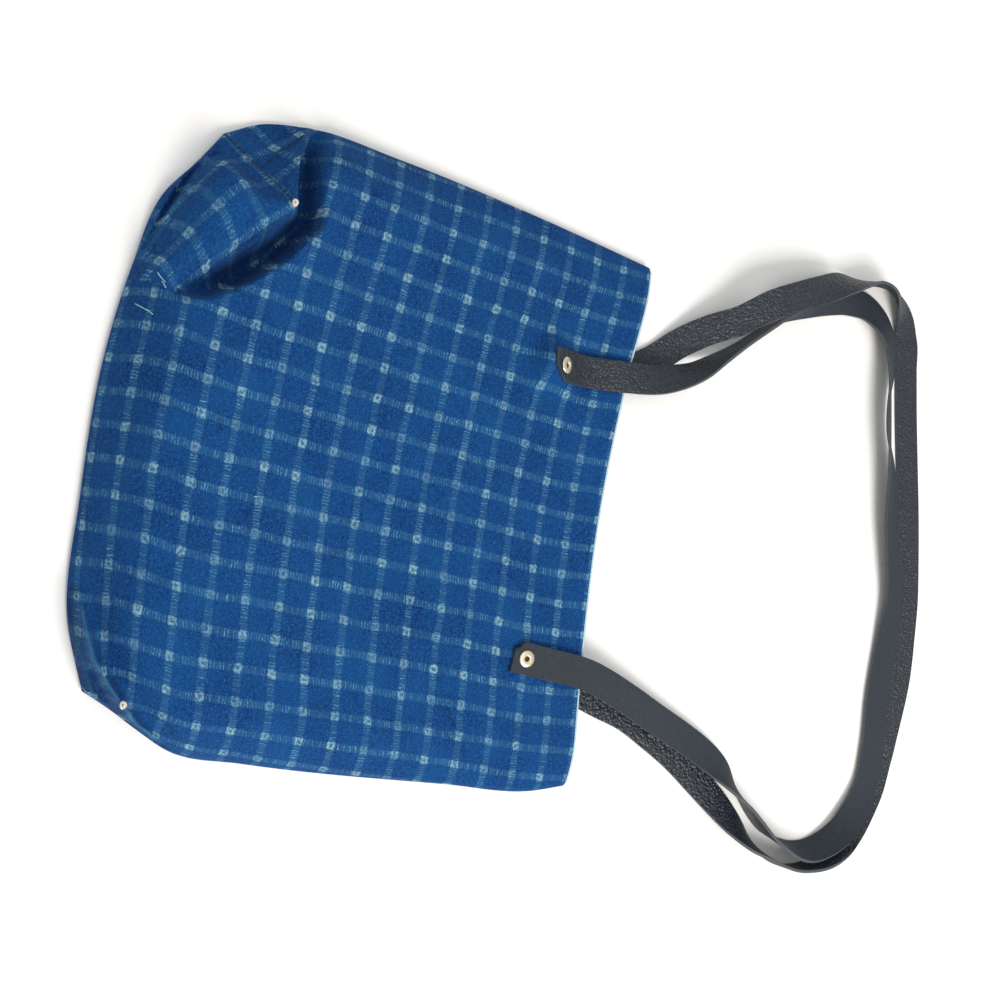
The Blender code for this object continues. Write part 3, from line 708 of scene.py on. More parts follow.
def add_node(tree, kind, inputs=(), **settings):
    """Add a shader node with its settings. Inputs come in order, or in a dict by name or number.

    Each is a value, a socket to link, or a node whose first output is linked.
    """
    made = tree.nodes.new("ShaderNode" + kind)
    for name, value in settings.items():
        setattr(made, name, value)
    for key, value in inputs.items() if isinstance(inputs, dict) else enumerate(inputs):
        if isinstance(value, bpy.types.Node):
            value = next(out for out in value.outputs if out.enabled)
        if isinstance(value, bpy.types.NodeSocket):
            tree.links.new(value, made.inputs[key])
        else:
            made.inputs[key].default_value = value
    return made


def new_material(name, roughness, metallic=0.0):
    """A Principled material, its node tree and its shader."""
    made = bpy.data.materials.new(name)
    made.use_nodes = True
    shader = made.node_tree.nodes["Principled BSDF"]
    shader.inputs["Roughness"].default_value = roughness
    shader.inputs["Metallic"].default_value = metallic
    return made, made.node_tree, shader


def give_surface(tree, shader, colour, shade, tone, height, strength, distance):
    """Colour a surface from a darker shade to its full colour by its tone, and give it relief.

    The shade is a share of the colour. The distance is the relief of a full height, in metres.
    """
    dark = tuple(c * shade for c in colour)
    mixed = add_node(tree, "Mix", {0: tone, 6: (*dark, 1), 7: (*colour, 1)}, data_type="RGBA")
    bump = add_node(tree, "Bump", {"Height": height, "Strength": strength, "Distance": distance})
    tree.links.new(mixed.outputs[2], shader.inputs["Base Color"])
    tree.links.new(bump.outputs[0], shader.inputs["Normal"])


def woven_cotton(size, colours):
    """Hand-woven indigo cotton: matte, with a check of paler slub threads and soft crinkles.

    The check gives the eye its grid, the short cross threads make each line look stitched,
    and the pale rings mark where the doubled threads cross.
    """
    made, tree, shader = new_material("handwoven_indigo_cotton", 0.92)
    shader.inputs["Sheen Weight"].default_value = 0.02
    shader.inputs["Sheen Roughness"].default_value = 0.6
    shader.inputs["Specular IOR Level"].default_value = 0.06
    uv = add_node(tree, "UVMap", uv_map="weave")
    # Loom waviness: the lines wander by about 1 mm.
    wander = add_node(tree, "TexNoise", {"Vector": uv, "Scale": 38.0, "Detail": 2.0})
    wander = add_node(tree, "VectorMath", (wander.outputs["Color"], (0.5, 0.5, 0.5)),
                      operation="SUBTRACT")
    wander = add_node(tree, "VectorMath", {0: wander, "Scale": 0.0030}, operation="SCALE")
    cloth = add_node(tree, "VectorMath", (uv, wander), operation="ADD")
    axes = add_node(tree, "SeparateXYZ", (cloth,)).outputs
    # Each line of doubled threads is about 4.5 mm wide, and its cross threads end unevenly.
    ends = add_node(tree, "TexNoise", {"Vector": uv, "Scale": 900.0, "Detail": 1.0})
    dashes = add_node(tree, "MapRange", (ends, 0.36, 0.60, 0.12, 1.0))
    masks, nears, numbers = [], [], []
    for axis, pitch in ((0, size.check_across), (1, size.check_along)):
        # Near is in millimetres from the middle of the nearest line, and number counts the lines.
        phase = add_node(tree, "Math", (axes[axis], pitch), operation="DIVIDE")
        near = add_node(tree, "Math", (phase, 0.5), operation="PINGPONG")
        near = add_node(tree, "Math", (near, pitch * 1000), operation="MULTIPLY")
        ragged = add_node(tree, "Math", (ends, 1.6, near), operation="MULTIPLY_ADD")
        ragged = add_node(tree, "Math", (ragged, 0.8), operation="SUBTRACT")
        masks.append(add_node(tree, "MapRange", (ragged, 1.5, 2.6, 1.0, 0.0),
                              interpolation_type="SMOOTHSTEP"))
        nears.append(near)
        numbers.append(add_node(tree, "Math", (phase,), operation="ROUND"))
    lines = []
    for axis in (0, 1):
        # Short threads about 1.7 mm apart cross the line like rungs, none of them quite alike.
        other = axes[1 - axis]
        rung = add_node(tree, "Math", (other, 2 * math.pi / 0.0017), operation="MULTIPLY")
        stray = add_node(tree, "TexNoise", {"Vector": cloth, "Scale": 420.0, "Detail": 1.0})
        rung = add_node(tree, "Math", (stray, 8.0, rung), operation="MULTIPLY_ADD")
        rung = add_node(tree, "Math", (rung,), operation="SINE")
        shares = [add_node(tree, "MapRange", (rung, 0.0, 0.9, 0.04, 1.0))]
        # The line comes and goes along its length, in runs of 15 mm and again of 2 mm.
        where = add_node(tree, "CombineXYZ", (numbers[axis], other, 3.1 + axis))
        for density, low, high, least in ((70.0, 0.36, 0.66, 0.30), (560.0, 0.40, 0.60, 0.10)):
            spread = add_node(tree, "VectorMath", (where, (7.7, density, 1.0)),
                              operation="MULTIPLY")
            part = add_node(tree, "TexNoise", {"Vector": spread, "Scale": 1.0, "Detail": 1.0})
            shares.append(add_node(tree, "MapRange", (part, low, high, least, 1.0)))
        line = masks[axis]
        for share in (*shares, dashes):
            line = add_node(tree, "Math", (line, share), operation="MULTIPLY")
        lines.append(line)
    check = add_node(tree, "Math", lines, operation="MAXIMUM")
    band = add_node(tree, "Math", masks, operation="MAXIMUM")
    # The rings where lines cross are square, about 4.6 mm outside, broken and not all alike.
    ring = add_node(tree, "Math", (*nears, 0.9), operation="SMOOTH_MAX")
    blotch = add_node(tree, "TexNoise", {"Vector": uv, "Scale": 620.0, "Detail": 2.0})
    ring = add_node(tree, "Math", (blotch, 2.6, ring), operation="MULTIPLY_ADD")
    ring = add_node(tree, "Math", (ring, 1.3), operation="SUBTRACT")
    knot = add_node(tree, "MapRange", (ring, 0.4, 1.4, 0.30, 1.0), interpolation_type="SMOOTHSTEP")
    edge = add_node(tree, "MapRange", (ring, 1.8, 2.8, 1.0, 0.0), interpolation_type="SMOOTHSTEP")
    which = add_node(tree, "CombineXYZ", numbers)
    chance = add_node(tree, "TexWhiteNoise", {"Vector": which}, noise_dimensions="2D")
    chance = add_node(tree, "MapRange", (chance, 0.0, 1.0, 0.30, 1.0))
    broken = add_node(tree, "TexNoise", {"Vector": uv, "Scale": 520.0, "Detail": 2.0})
    broken = add_node(tree, "MapRange", (broken, 0.38, 0.58, 0.25, 1.0))
    for share in (edge, chance, broken):
        knot = add_node(tree, "Math", (knot, share), operation="MULTIPLY")
    # Yarn: fine crinkles 1 to 2 mm long in both directions, drawn coarser than the 0.6 mm yarn.
    grains = []
    for stretch in ((0.40, 1.0, 1.0), (1.0, 0.40, 1.0)):
        pulled = add_node(tree, "VectorMath", (cloth, stretch), operation="MULTIPLY")
        grains.append(add_node(tree, "TexNoise", {"Vector": pulled, "Scale": 1250.0, "Detail": 2.0}))
    yarn = add_node(tree, "Math", grains, operation="ADD")
    light = add_node(tree, "MapRange", (yarn, 0.78, 1.24, 0.0, 1.0))
    # Uneven dye, in patches a few centimetres wide.
    dye = add_node(tree, "TexNoise", {"Vector": uv, "Scale": 30.0, "Detail": 3.0})
    dye = add_node(tree, "MapRange", (dye, 0.35, 0.65, 0.0, 0.45))
    lined = add_node(tree, "Math", (band, 0.05), operation="MULTIPLY")
    lined = add_node(tree, "Math", (check, 0.80, lined), operation="MULTIPLY_ADD")
    lined = add_node(tree, "Math", (lined, 1.0), operation="MINIMUM")
    ringed = add_node(tree, "Math", (knot, 0.68), operation="MULTIPLY")
    # Fold edges are drawn paler, as rubbed wear and a painted highlight, and specks of undyed fibre
    # show all over.
    wear_and_highlight = add_node(tree, "Attribute", attribute_name="edge_wear_and_highlight").outputs["Fac"]
    wear_and_highlight = add_node(tree, "Math", (wear_and_highlight, 0.42), operation="MULTIPLY")
    speck = add_node(tree, "TexNoise", {"Vector": uv, "Scale": 1500.0, "Detail": 1.0})
    speck = add_node(tree, "MapRange", (speck, 0.66, 0.78, 0.0, 0.6))
    # Painted shade: deep in the folds the cloth is drawn darker, where little light gets in.
    painted_fold_shade = add_node(tree, "Attribute", attribute_name="fold_shade").outputs["Fac"]
    painted_fold_shade = add_node(tree, "Math", (painted_fold_shade, 0.50), operation="MULTIPLY")
    # Each colour covers the ones before it by its share.
    colour = (*colours.deep_indigo, 1)
    for share, cover in ((light, colours.indigo),
                         (dye, colours.bright_indigo),
                         (lined, colours.pale_thread),
                         (ringed, colours.knot_thread),
                         (wear_and_highlight, colours.pale_thread),
                         (speck, colours.pale_thread),
                         (painted_fold_shade, colours.fold_shade_and_seam_navy)):
        colour = add_node(tree, "Mix", {0: share, 6: colour, 7: (*cover, 1)}, data_type="RGBA")
    relief = add_node(tree, "Math", (yarn, 0.55), operation="MULTIPLY")
    relief = add_node(tree, "Math", (check, 0.25, relief), operation="MULTIPLY_ADD")
    relief = add_node(tree, "Math", (knot, 0.35, relief), operation="MULTIPLY_ADD")
    bump = add_node(tree, "Bump", {"Height": relief, "Strength": 0.7, "Distance": 0.0009})
    tree.links.new(colour.outputs[2], shader.inputs["Base Color"])
    tree.links.new(bump.outputs[0], shader.inputs["Normal"])
    return made


def plain_cotton(name, colour):
    """Plain pale cotton tape: matte, with a fine even weave."""
    made, tree, shader = new_material(name, 0.9)
    place = add_node(tree, "TexCoord").outputs["Object"]
    weave = add_node(tree, "TexNoise", {"Vector": place, "Scale": 1400.0, "Detail": 1.0})
    tone = add_node(tree, "MapRange", (weave, 0.3, 0.7, 0.0, 1.0))
    give_surface(tree, shader, colour, 0.72, tone, weave, 0.4, 0.0004)
    return made


def pebbled_leather(colour):
    """Grain side of drummed cowhide: soft pebbles about 1.4 mm wide with a low gloss."""
    made, tree, shader = new_material("pebbled_cowhide_grain", 0.42)
    shader.inputs["Specular IOR Level"].default_value = 0.5
    place = add_node(tree, "TexCoord").outputs["Object"]
    bent = add_node(tree, "TexNoise", {"Vector": place, "Scale": 500.0, "Detail": 1.0})
    bent = add_node(tree, "VectorMath", {0: bent.outputs["Color"], "Scale": 0.0007},
                    operation="SCALE")
    where = add_node(tree, "VectorMath", (place, bent), operation="ADD")
    cells = add_node(tree, "TexVoronoi", {"Vector": where, "Scale": 640.0}, feature="SMOOTH_F1")
    folds = add_node(tree, "TexNoise", {"Vector": place, "Scale": 160.0, "Detail": 3.0})
    height = add_node(tree, "Math", (cells, -1.0, folds), operation="MULTIPLY_ADD")
    # Painted shade and highlight: the pebble tops take the full colour and the valleys between them
    # half of it.
    tone = add_node(tree, "MapRange", (cells, 0.1, 0.75, 1.0, 0.0))
    give_surface(tree, shader, colour, 0.50, tone, height, 1.0, 0.0011)
    return made


def smooth_leather(name, colour, roughness):
    """Flesh side or cut edge of the hide: matte, short-fibred and even."""
    made, tree, shader = new_material(name, roughness)
    shader.inputs["Specular IOR Level"].default_value = 0.3
    place = add_node(tree, "TexCoord").outputs["Object"]
    fibre = add_node(tree, "TexNoise", {"Vector": place, "Scale": 420.0, "Detail": 4.0})
    tone = add_node(tree, "MapRange", (fibre, 0.3, 0.7, 0.0, 1.0))
    give_surface(tree, shader, colour, 0.78, tone, fibre, 0.3, 0.0003)
    return made


def nickel_plate(colour):
    """Nickel-plated steel of a set rivet: bright, slightly warm, with faint handling marks."""
    made, tree, shader = new_material("nickel_plated_steel", 0.28, 1.0)
    place = add_node(tree, "TexCoord").outputs["Object"]
    marks = add_node(tree, "TexNoise", {"Vector": place, "Scale": 900.0, "Detail": 3.0})
    rough = add_node(tree, "MapRange", (marks, 0.3, 0.7, 0.22, 0.40))
    shader.inputs["Base Color"].default_value = (*colour, 1)
    tree.links.new(rough.outputs[0], shader.inputs["Roughness"])
    return made


def spun_thread(name, colour):
    """Cotton sewing thread: matte and fuzzy, twisted at a short pitch."""
    made, tree, shader = new_material(name, 0.85)
    place = add_node(tree, "TexCoord").outputs["Object"]
    twist = add_node(tree, "TexWave", {"Vector": place, "Scale": 900.0, "Distortion": 2.0},
                     bands_direction="DIAGONAL").outputs[1]
    give_surface(tree, shader, colour, 0.7, twist, twist, 0.4, 0.0002)
    return made


def cloth_sheet(form, around, rows, inset=0.0, crinkle=None):
    """The cloth as a sleeve round the bag with its weave laid out, sewn up where edges meet."""
    bm, column, row = grid_from(around, rows)
    around, rows = np.array(around), np.array(rows)
    points = form.cloth_points(around[column], rows[row])
    # The weave is laid on the form without its folds, because cloth doesn't stretch over them.
    grid = np.zeros((len(around), len(rows), 3))
    grid[column, row] = form.cloth_points(around[column], rows[row], folded=False)
    across = np.linalg.norm(np.diff(grid, axis=0), axis=2).cumsum(axis=0)
    across = np.concatenate([np.zeros((1, len(rows))), across])
    middle = int(np.argmin(np.abs(around - 0.5)))
    across = across - across[middle]
    along = np.linalg.norm(np.diff(grid, axis=1), axis=2).cumsum(axis=1)
    along = np.concatenate([np.zeros((len(around), 1)), along], axis=1)
    weave = bm.loops.layers.uv.new("weave")
    # Share of pale fold edge per vertex: rubbed wear and a painted highlight.
    edge_wear_and_highlight = bm.verts.layers.float.new("edge_wear_and_highlight")
    # Share of painted shade deep in the folds, per vertex.
    fold_shade = bm.verts.layers.float.new("fold_shade")
    bm.verts.index_update()
    edge, fold_shades = [share * (around[column] <= 1.0)
                     for share in form.fold_sharply(points[:, :2], points[:, 2])[1:]]
    for vertex, point, wear_and_highlight, painted_fold_shade in zip(bm.verts, points, edge, fold_shades):
        vertex.co = point
        vertex[edge_wear_and_highlight] = wear_and_highlight
        vertex[fold_shade] = painted_fold_shade
    tip, right, up = form.flap_axes()
    bm.faces.ensure_lookup_table()
    middles = np.array([face.calc_center_median()[:2] for face in bm.faces])
    turned = form.on_flap(middles)
    off = form.along_fold(points[:, :2], form.sharp_lines["corner"])[0]
    fall = form.down_wall(points, points[:, 2]) * (off > 0)[:, None]
    for face, on_flap in zip(bm.faces, turned):
        on_flap = on_flap and all(around[column[v.index]] <= 1.0 for v in face.verts)
        for loop in face.loops:
            i, j = column[loop.vert.index], row[loop.vert.index]
            if on_flap:
                reach = loop.vert.co - tip + Vector((*fall[loop.vert.index], 0.0))
                loop[weave].uv = (reach.dot(right), reach.dot(up))
            else:
                loop[weave].uv = (across[i, j], along[i, j])
    bm.normal_update()
    top = max(bm.faces, key=lambda f: f.calc_center_median().z)
    if top.normal.z < 0:
        bmesh.ops.reverse_faces(bm, faces=bm.faces)
        bm.normal_update()
    if crinkle:
        moves = [crinkle(around[column[v.index]], rows[row[v.index]], v.co) for v in bm.verts]
        for vertex, move in zip(bm.verts, moves):
            vertex.co += vertex.normal * move
    if inset:
        for vertex in bm.verts:
            vertex.co -= vertex.normal * inset
    bmesh.ops.remove_doubles(bm, verts=bm.verts, dist=2e-6)
    bm.normal_update()
    return bm


def around_bag(form, step_front, step_back):
    """Places round the bag: fine over the front, coarser under the back, close at the folds."""
    near = round_fold(form.width)
    front = near[:-1] + even_shares(near[-1], 1 - near[-1], form.width, step_front)
    front += [1 - share for share in reversed(near)]
    back = [1 + share for share in near[1:-1]]
    back += even_shares(1 + near[-1], 2 - near[-1], form.width, step_back)
    back += [2 - share for share in reversed(near)]
    return front + back


def length_setting(name, description, default):
    """A length in metres that the panel shows."""
    return FloatProperty(name=name, description=description, default=default, unit="LENGTH")


def colour_setting(name, description, colour):
    """A colour that the panel shows, from its sRGB hex value."""
    return FloatVectorProperty(name=name, description=description, subtype="COLOR",
                               default=linear(colour)[:3])


class TOTE_sizes(PropertyGroup):
    """Sizes of the bag and its handles."""
    mouth_width: length_setting("Mouth width", "Across the flat mouth", 0.326)
    body_length: length_setting("Body length", "Mouth to base fold as the bag lies", 0.308)
    base_depth: length_setting("Base depth", "Front to back of the boxed base", 0.058)
    handle_reach: length_setting("Handle reach", "How far the handles lie past the mouth", 0.268)
    strap_width: length_setting("Strap width", "Width of the leather straps", 0.019)
    strap_thick: length_setting("Strap thickness", "Thickness of the leather", 0.0020)
    check_across: length_setting("Check across", "Spacing of the lines across the bag", 0.0175)
    check_along: length_setting("Check along", "Spacing of the lines down the bag", 0.0194)


class TOTE_colours(PropertyGroup):
    """Colours of the cloth, leather, metal and thread."""
    indigo: colour_setting("Indigo", "Ground colour of the cloth", "#144a86")
    deep_indigo: colour_setting("Deep indigo", "Between the yarns", "#0b2a5e")
    # This navy is drawn as painted shade deep in the folds, and is also the seam thread's own
    # colour.
    fold_shade_and_seam_navy: colour_setting("Fold shade and seam navy", "Deep in the folds, and seam thread", "#0a1a44")
    bright_indigo: colour_setting("Bright indigo", "Where the dye took less", "#154f8a")
    pale_thread: colour_setting("Pale thread", "Lines of the check", "#66a6c0")
    knot_thread: colour_setting("Knot thread", "Rings where the lines cross", "#9cc6d0")
    lining: colour_setting("Lining", "Band inside the mouth", "#b9daf0")
    grain: colour_setting("Leather grain", "Pebbled side of the straps", "#27303c")
    flesh: colour_setting("Leather flesh", "Smooth side of the straps", "#2f3740")
    cut_edge: colour_setting("Leather edge", "Cut edges of the straps", "#4c535b")
    metal: colour_setting("Rivet metal", "Plated rivets", "#f2e4c8")
    thread: colour_setting("Cream thread", "Knots at the base corners", "#efe9da")
    floor: colour_setting("Floor", "Pale floor under the bag", "#fbfbfb")


class TOTE_OT_bag_cloth(Operator):
    """Dress the bag body in one sewn skin of woven cotton"""
    bl_idname = "tote.bag_cloth"
    bl_label = "Bag cloth"

    def execute(self, context):
        size, colours = context.scene.tote_sizes, context.scene.tote_colours
        form = BagForm(size)
        near = round_fold(form.length)
        rows = even_shares(0.0, FINE_FROM, form.length, ROW_STEP)
        rows += even_shares(FINE_FROM, 1 - near[-1], form.length, FINE_ROW_STEP)
        rows += [1 - share for share in reversed(near)]

        def crinkle(around, t, point):
            """Soft puckers of washed cotton, only ever inwards, none by the seats or folds."""
            if around > 1.0:
                return 0.0
            fade = min(1.0, around * 18, (1 - around) * 18, (1 - t) * 18, t * 8)
            for row in FRONT_SEATS:
                off = (point.xy - form.seat_of(row)[0].xy).length
                fade = min(fade, max(0.0, (off - SEAT_RADIUS) / PUCKER_FADE))
            flat = Vector((point.x, point.y, 0))
            wide = noise.noise(flat / WIDE_PUCKER + Vector((3, 1, 0)))
            small = noise.noise(flat / SMALL_PUCKER) * 0.35
            return -PUCKER_DEPTH * max(fade, 0.0) * (0.9 + wide + small)

        bm = cloth_sheet(form, around_bag(form, CLOTH_STEP, BACK_STEP), rows, crinkle=crinkle)
        cloth = add_piece("bag_cloth", bm, [woven_cotton(size, colours)], form.shift,
                          ["bag_body"])
        add_wall(cloth, CLOTH, -1.0)
        return {"FINISHED"}


class TOTE_OT_mouth_band(Operator):
    """Sew the pale band inside the mouth"""
    bl_idname = "tote.mouth_band"
    bl_label = "Mouth band"

    def execute(self, context):
        form = BagForm(context.scene.tote_sizes)
        rows = [-BAND_LIP / form.length, -BAND_LIP / form.length * 0.5]
        rows += even_shares(0.0, LINING_WIDTH / form.length, form.length, BAND_STEP)
        around = around_bag(form, BAND_STEP, BAND_BACK_STEP)
        bm = cloth_sheet(form, around, rows, inset=CLOTH + GAP)
        tape = plain_cotton("plain_cotton_tape", context.scene.tote_colours.lining)
        band = add_piece("mouth_band", bm, [tape], form.shift, ["mouth_facing"])
        add_wall(band, LINING_THICK, -1.0)
        return {"FINISHED"}


def half_height(form, lean):
    """From a strap's middle down to its lower edge, leaning this much."""
    return abs(math.sin(lean)) * form.strap_width / 2 + abs(math.cos(lean)) * form.strap_thick / 2


def seated_rows(form, centre, outward, toward, turned):
    """The riveted end of a strap, flat on its seat and heading toward a point."""
    heading = Vector(toward[:3]) - centre
    heading = (heading - heading.project(outward)).normalized()
    middle = centre + outward * (GAP + form.strap_thick / 2)
    side = heading.cross(Vector((0, 0, 1))).normalized()
    up = side.cross(heading)
    grain = outward if outward.z > 0 else -outward
    lean = math.atan2(-grain.dot(side), grain.dot(up)) + turned * math.pi
    places = [middle + heading * END_MARGIN * step for step in (-1.0, 0.0, 1.0, 1.8)]
    return [(place.x, place.y, place.z - half_height(form, lean), lean) for place in places]


def over_mouth(form, across, turned):
    """A row of the front handle where it rests on the mouth's edge."""
    edge = form.cloth_points(np.array([across + 0.5]), np.array([0.0]))[0]
    return (edge[0], edge[1], edge[2] + GAP + LINING_LIP, turned * math.pi)


def handle_rows(form, table):
    """The free part of a handle as rows of x, y, lift and lean."""
    return [(across * form.width, out * form.reach, lift * form.strap_width, math.radians(lean))
            for across, out, lift, lean in table]


def front_route(form):
    """All of the front handle, rivet to rivet, as rows of x, y, lift and lean."""
    free = handle_rows(form, FRONT_HANDLE)
    enter, leave = over_mouth(form, MOUTH_CROSSINGS[0], 0), over_mouth(form, MOUTH_CROSSINGS[1], 1)
    start = seated_rows(form, *form.seat_of(FRONT_SEATS[0]), enter, 0)
    end = seated_rows(form, *form.seat_of(FRONT_SEATS[1]), leave, 1)
    # The far end heads back to its rivet, so its lean is measured the other way round.
    end = [(x, y, lift, 2 * math.pi - lean) for x, y, lift, lean in end]
    return start + [enter] + free + [leave] + end[::-1]


def back_route(form):
    """All of the back handle, rivet to rivet, as rows of x, y, lift and lean."""
    free = handle_rows(form, BACK_HANDLE)
    start = seated_rows(form, *form.back_seat(BACK_SEATS[0]), free[0], 0)
    end = seated_rows(form, *form.back_seat(BACK_SEATS[1]), free[-1], 0)
    return start + free + end[::-1]


def strap_middle(form, at, share):
    """Middle of a strap, and how it leans, at a share of its length."""
    x, y, lift, lean = at(share)[0]
    return Vector((x, y, max(lift, GAP / 2) + half_height(form, lean))), lean


def strap_frame(form, at, share):
    """Middle, width direction and grain normal of a strap at a share of its length."""
    step = 1e-4
    middle, lean = strap_middle(form, at, share)
    along = (strap_middle(form, at, min(share + step, 1.0))[0]
             - strap_middle(form, at, max(share - step, 0.0))[0]).normalized()
    side = along.cross(Vector((0, 0, 1))).normalized()
    up = side.cross(along).normalized()
    wide = side * math.cos(lean) + up * math.sin(lean)
    return middle, wide, up * math.cos(lean) - side * math.sin(lean)


def make_strap(form, name, route, materials, node, cuts):
    """A flat leather handle along its route, with one corner cut off at each end.

    The cuts are how much of the width goes at the start and at the end, under zero for
    the other edge.
    """
    at, length = curve_through(route, places=3)
    first, last = abs(cuts[0]) / length, 1 - abs(cuts[1]) / length
    shares = even_shares(0.0, first, length, CUT_STEP)
    shares += even_shares(first, last, length, STRAP_STEP)
    shares += even_shares(last, 1.0, length, CUT_STEP) + [1.0]
    places = (-1.0, -0.93, -0.6, -0.2, 0.2, 0.6, 0.93, 1.0)
    bm, row, column = grid_from(shares, places)
    frames = [strap_frame(form, at, share) for share in shares]
    lay = bm.loops.layers.uv.new("hide")
    bm.verts.index_update()
    for vertex, i, j in zip(bm.verts, row, column):
        middle, wide, _ = frames[i]
        reach = places[j] * form.strap_width / 2
        for end, size in ((0.0, cuts[0]), (length, cuts[1])):
            short = abs(size) - abs(shares[i] * length - end)
            if short > 0:
                kept = form.strap_width / 2 - short
                reach = min(reach, kept) if size > 0 else max(reach, -kept)
        vertex.co = middle + wide * reach
    for face in bm.faces:
        for loop in face.loops:
            i, j = row[loop.vert.index], column[loop.vert.index]
            loop[lay].uv = (shares[i] * length, places[j] * form.strap_width / 2)
    bm.normal_update()
    bm.faces.ensure_lookup_table()
    middle = bm.faces[len(bm.faces) // 2]
    i = row[middle.verts[0].index]
    if middle.normal.dot(frames[i][2]) < 0:
        bmesh.ops.reverse_faces(bm, faces=bm.faces)
    strap = add_piece(name, bm, materials, form.shift, [node])
    wall = add_wall(strap, form.strap_thick, 0.0)
    wall.material_offset = 1
    wall.material_offset_rim = 2
    soft = strap.modifiers.new("worn_edge", "BEVEL")
    soft.width = EDGE_ROUND
    soft.segments = 2
    soft.limit_method = "ANGLE"
    soft.angle_limit = math.radians(60)


class TOTE_OT_handles(Operator):
    """Lay the two leather handles along their routes"""
    bl_idname = "tote.handles"
    bl_label = "Leather handles"

    def execute(self, context):
        colours = context.scene.tote_colours
        form = BagForm(context.scene.tote_sizes)
        leather = [pebbled_leather(colours.grain),
                   smooth_leather("cowhide_flesh_side", colours.flesh, 0.72),
                   smooth_leather("cowhide_cut_edge", colours.cut_edge, 0.6)]
        make_strap(form, "front_strap", front_route(form), leather, "front_handle",
                   (UPPER_CHAMFER, -STRAP_CHAMFER))
        make_strap(form, "back_strap", back_route(form), leather, "back_handle",
                   (STRAP_CHAMFER, STRAP_CHAMFER))
        return {"FINISHED"}


def turned_about(outward, centre):
    """A matrix that puts +Z along the outward normal at the centre."""
    return Matrix.Translation(centre) @ outward.to_track_quat("Z", "Y").to_matrix().to_4x4()


class TOTE_OT_rivets(Operator):
    """Set the four tubular rivets"""
    bl_idname = "tote.rivets"
    bl_label = "Rivets"

    def execute(self, context):
        form = BagForm(context.scene.tote_sizes)
        plate = nickel_plate(context.scene.tote_colours.metal)
        under = GAP + form.strap_thick + GAP
        inner = -CLOTH - GAP
        profile = ((BORE_RADIUS, inner - WASHER_THICK),
                   (WASHER_RADIUS * 0.9, inner - WASHER_THICK),
                   (WASHER_RADIUS, inner - WASHER_THICK * 0.6),
                   (WASHER_RADIUS, inner),
                   (SHANK_RADIUS, inner),
                   (SHANK_RADIUS, under),
                   (FLANGE_RADIUS * 0.97, under),
                   (FLANGE_RADIUS, under + FLANGE_THICK * 0.18),
                   (FLANGE_RADIUS * 0.98, under + FLANGE_THICK * 0.42),
                   (FLANGE_RADIUS * 0.88, under + FLANGE_THICK * 0.70),
                   (FLANGE_RADIUS * 0.70, under + FLANGE_THICK * 0.90),
                   (FLANGE_RADIUS * 0.52, under + FLANGE_THICK),
                   (BORE_RADIUS * 1.35, under + FLANGE_THICK * 0.92),
                   (BORE_RADIUS * 1.08, under + FLANGE_THICK * 0.62),
                   (BORE_RADIUS, under + FLANGE_THICK * 0.2))
        seats = [("front", form.seat_of(row)) for row in FRONT_SEATS]
        seats += [("back", form.back_seat(row)) for row in BACK_SEATS]
        for number, (side, (centre, outward)) in enumerate(seats):
            end = "minus" if number % 2 == 0 else "plus"
            bm = bmesh.new()
            verts = [bm.verts.new((radius, 0.0, height)) for radius, height in profile]
            edges = [bm.edges.new((verts[i - 1], verts[i])) for i in range(len(verts))]
            bmesh.ops.spin(bm, geom=verts + edges, axis=(0, 0, 1), cent=(0, 0, 0), dvec=(0, 0, 0),
                           angle=2 * math.pi, steps=RIVET_SIDES, use_merge=True, use_duplicate=False)
            bmesh.ops.remove_doubles(bm, verts=bm.verts, dist=1e-6)
            bmesh.ops.recalc_face_normals(bm, faces=bm.faces)
            bmesh.ops.transform(bm, matrix=turned_about(outward, centre), verts=bm.verts)
            rivet = add_piece(f"{side}_set_rivet_{end}", bm, [plate], form.shift,
                              [f"{side}_rivet_{end}"])
            rivet.data.set_sharp_from_angle(angle=math.radians(50))
        return {"FINISHED"}


def sweep(bm, points, radius):
    """A round thread along points, closed at both ends."""
    at, length = curve_through([tuple(p) for p in points], places=3)
    count = max(4, round(length / (radius * 1.6)))
    ring = bmesh.ops.create_circle(bm, cap_ends=False, segments=THREAD_SIDES,
                                   radius=radius)["verts"]
    start, ahead = Vector(at(0.0)[0]), Vector(at(0.02)[0])
    turn = (ahead - start).to_track_quat("Z", "Y").to_matrix().to_4x4()
    bmesh.ops.transform(bm, matrix=Matrix.Translation(start) @ turn, verts=ring)
    first = edges = list({edge for vertex in ring for edge in vertex.link_edges})
    before, facing = start, (ahead - start).normalized()
    for i in range(1, count + 1):
        here = Vector(at(i / count)[0])
        on = Vector(at(min(1.0, (i + 0.3) / count))[0]) - Vector(at((i - 0.3) / count)[0])
        on.normalize()
        made = bmesh.ops.extrude_edge_only(bm, edges=edges)["geom"]
        verts = [item for item in made if isinstance(item, bmesh.types.BMVert)]
        swing = facing.rotation_difference(on).to_matrix().to_4x4()
        move = Matrix.Translation(here) @ swing @ Matrix.Translation(-before)
        bmesh.ops.transform(bm, matrix=move, verts=verts)
        edges = [item for item in made if isinstance(item, bmesh.types.BMEdge)
                 and all(v in verts for v in item.verts)]
        before, facing = here, on
    bmesh.ops.contextual_create(bm, geom=first)
    bmesh.ops.contextual_create(bm, geom=edges)


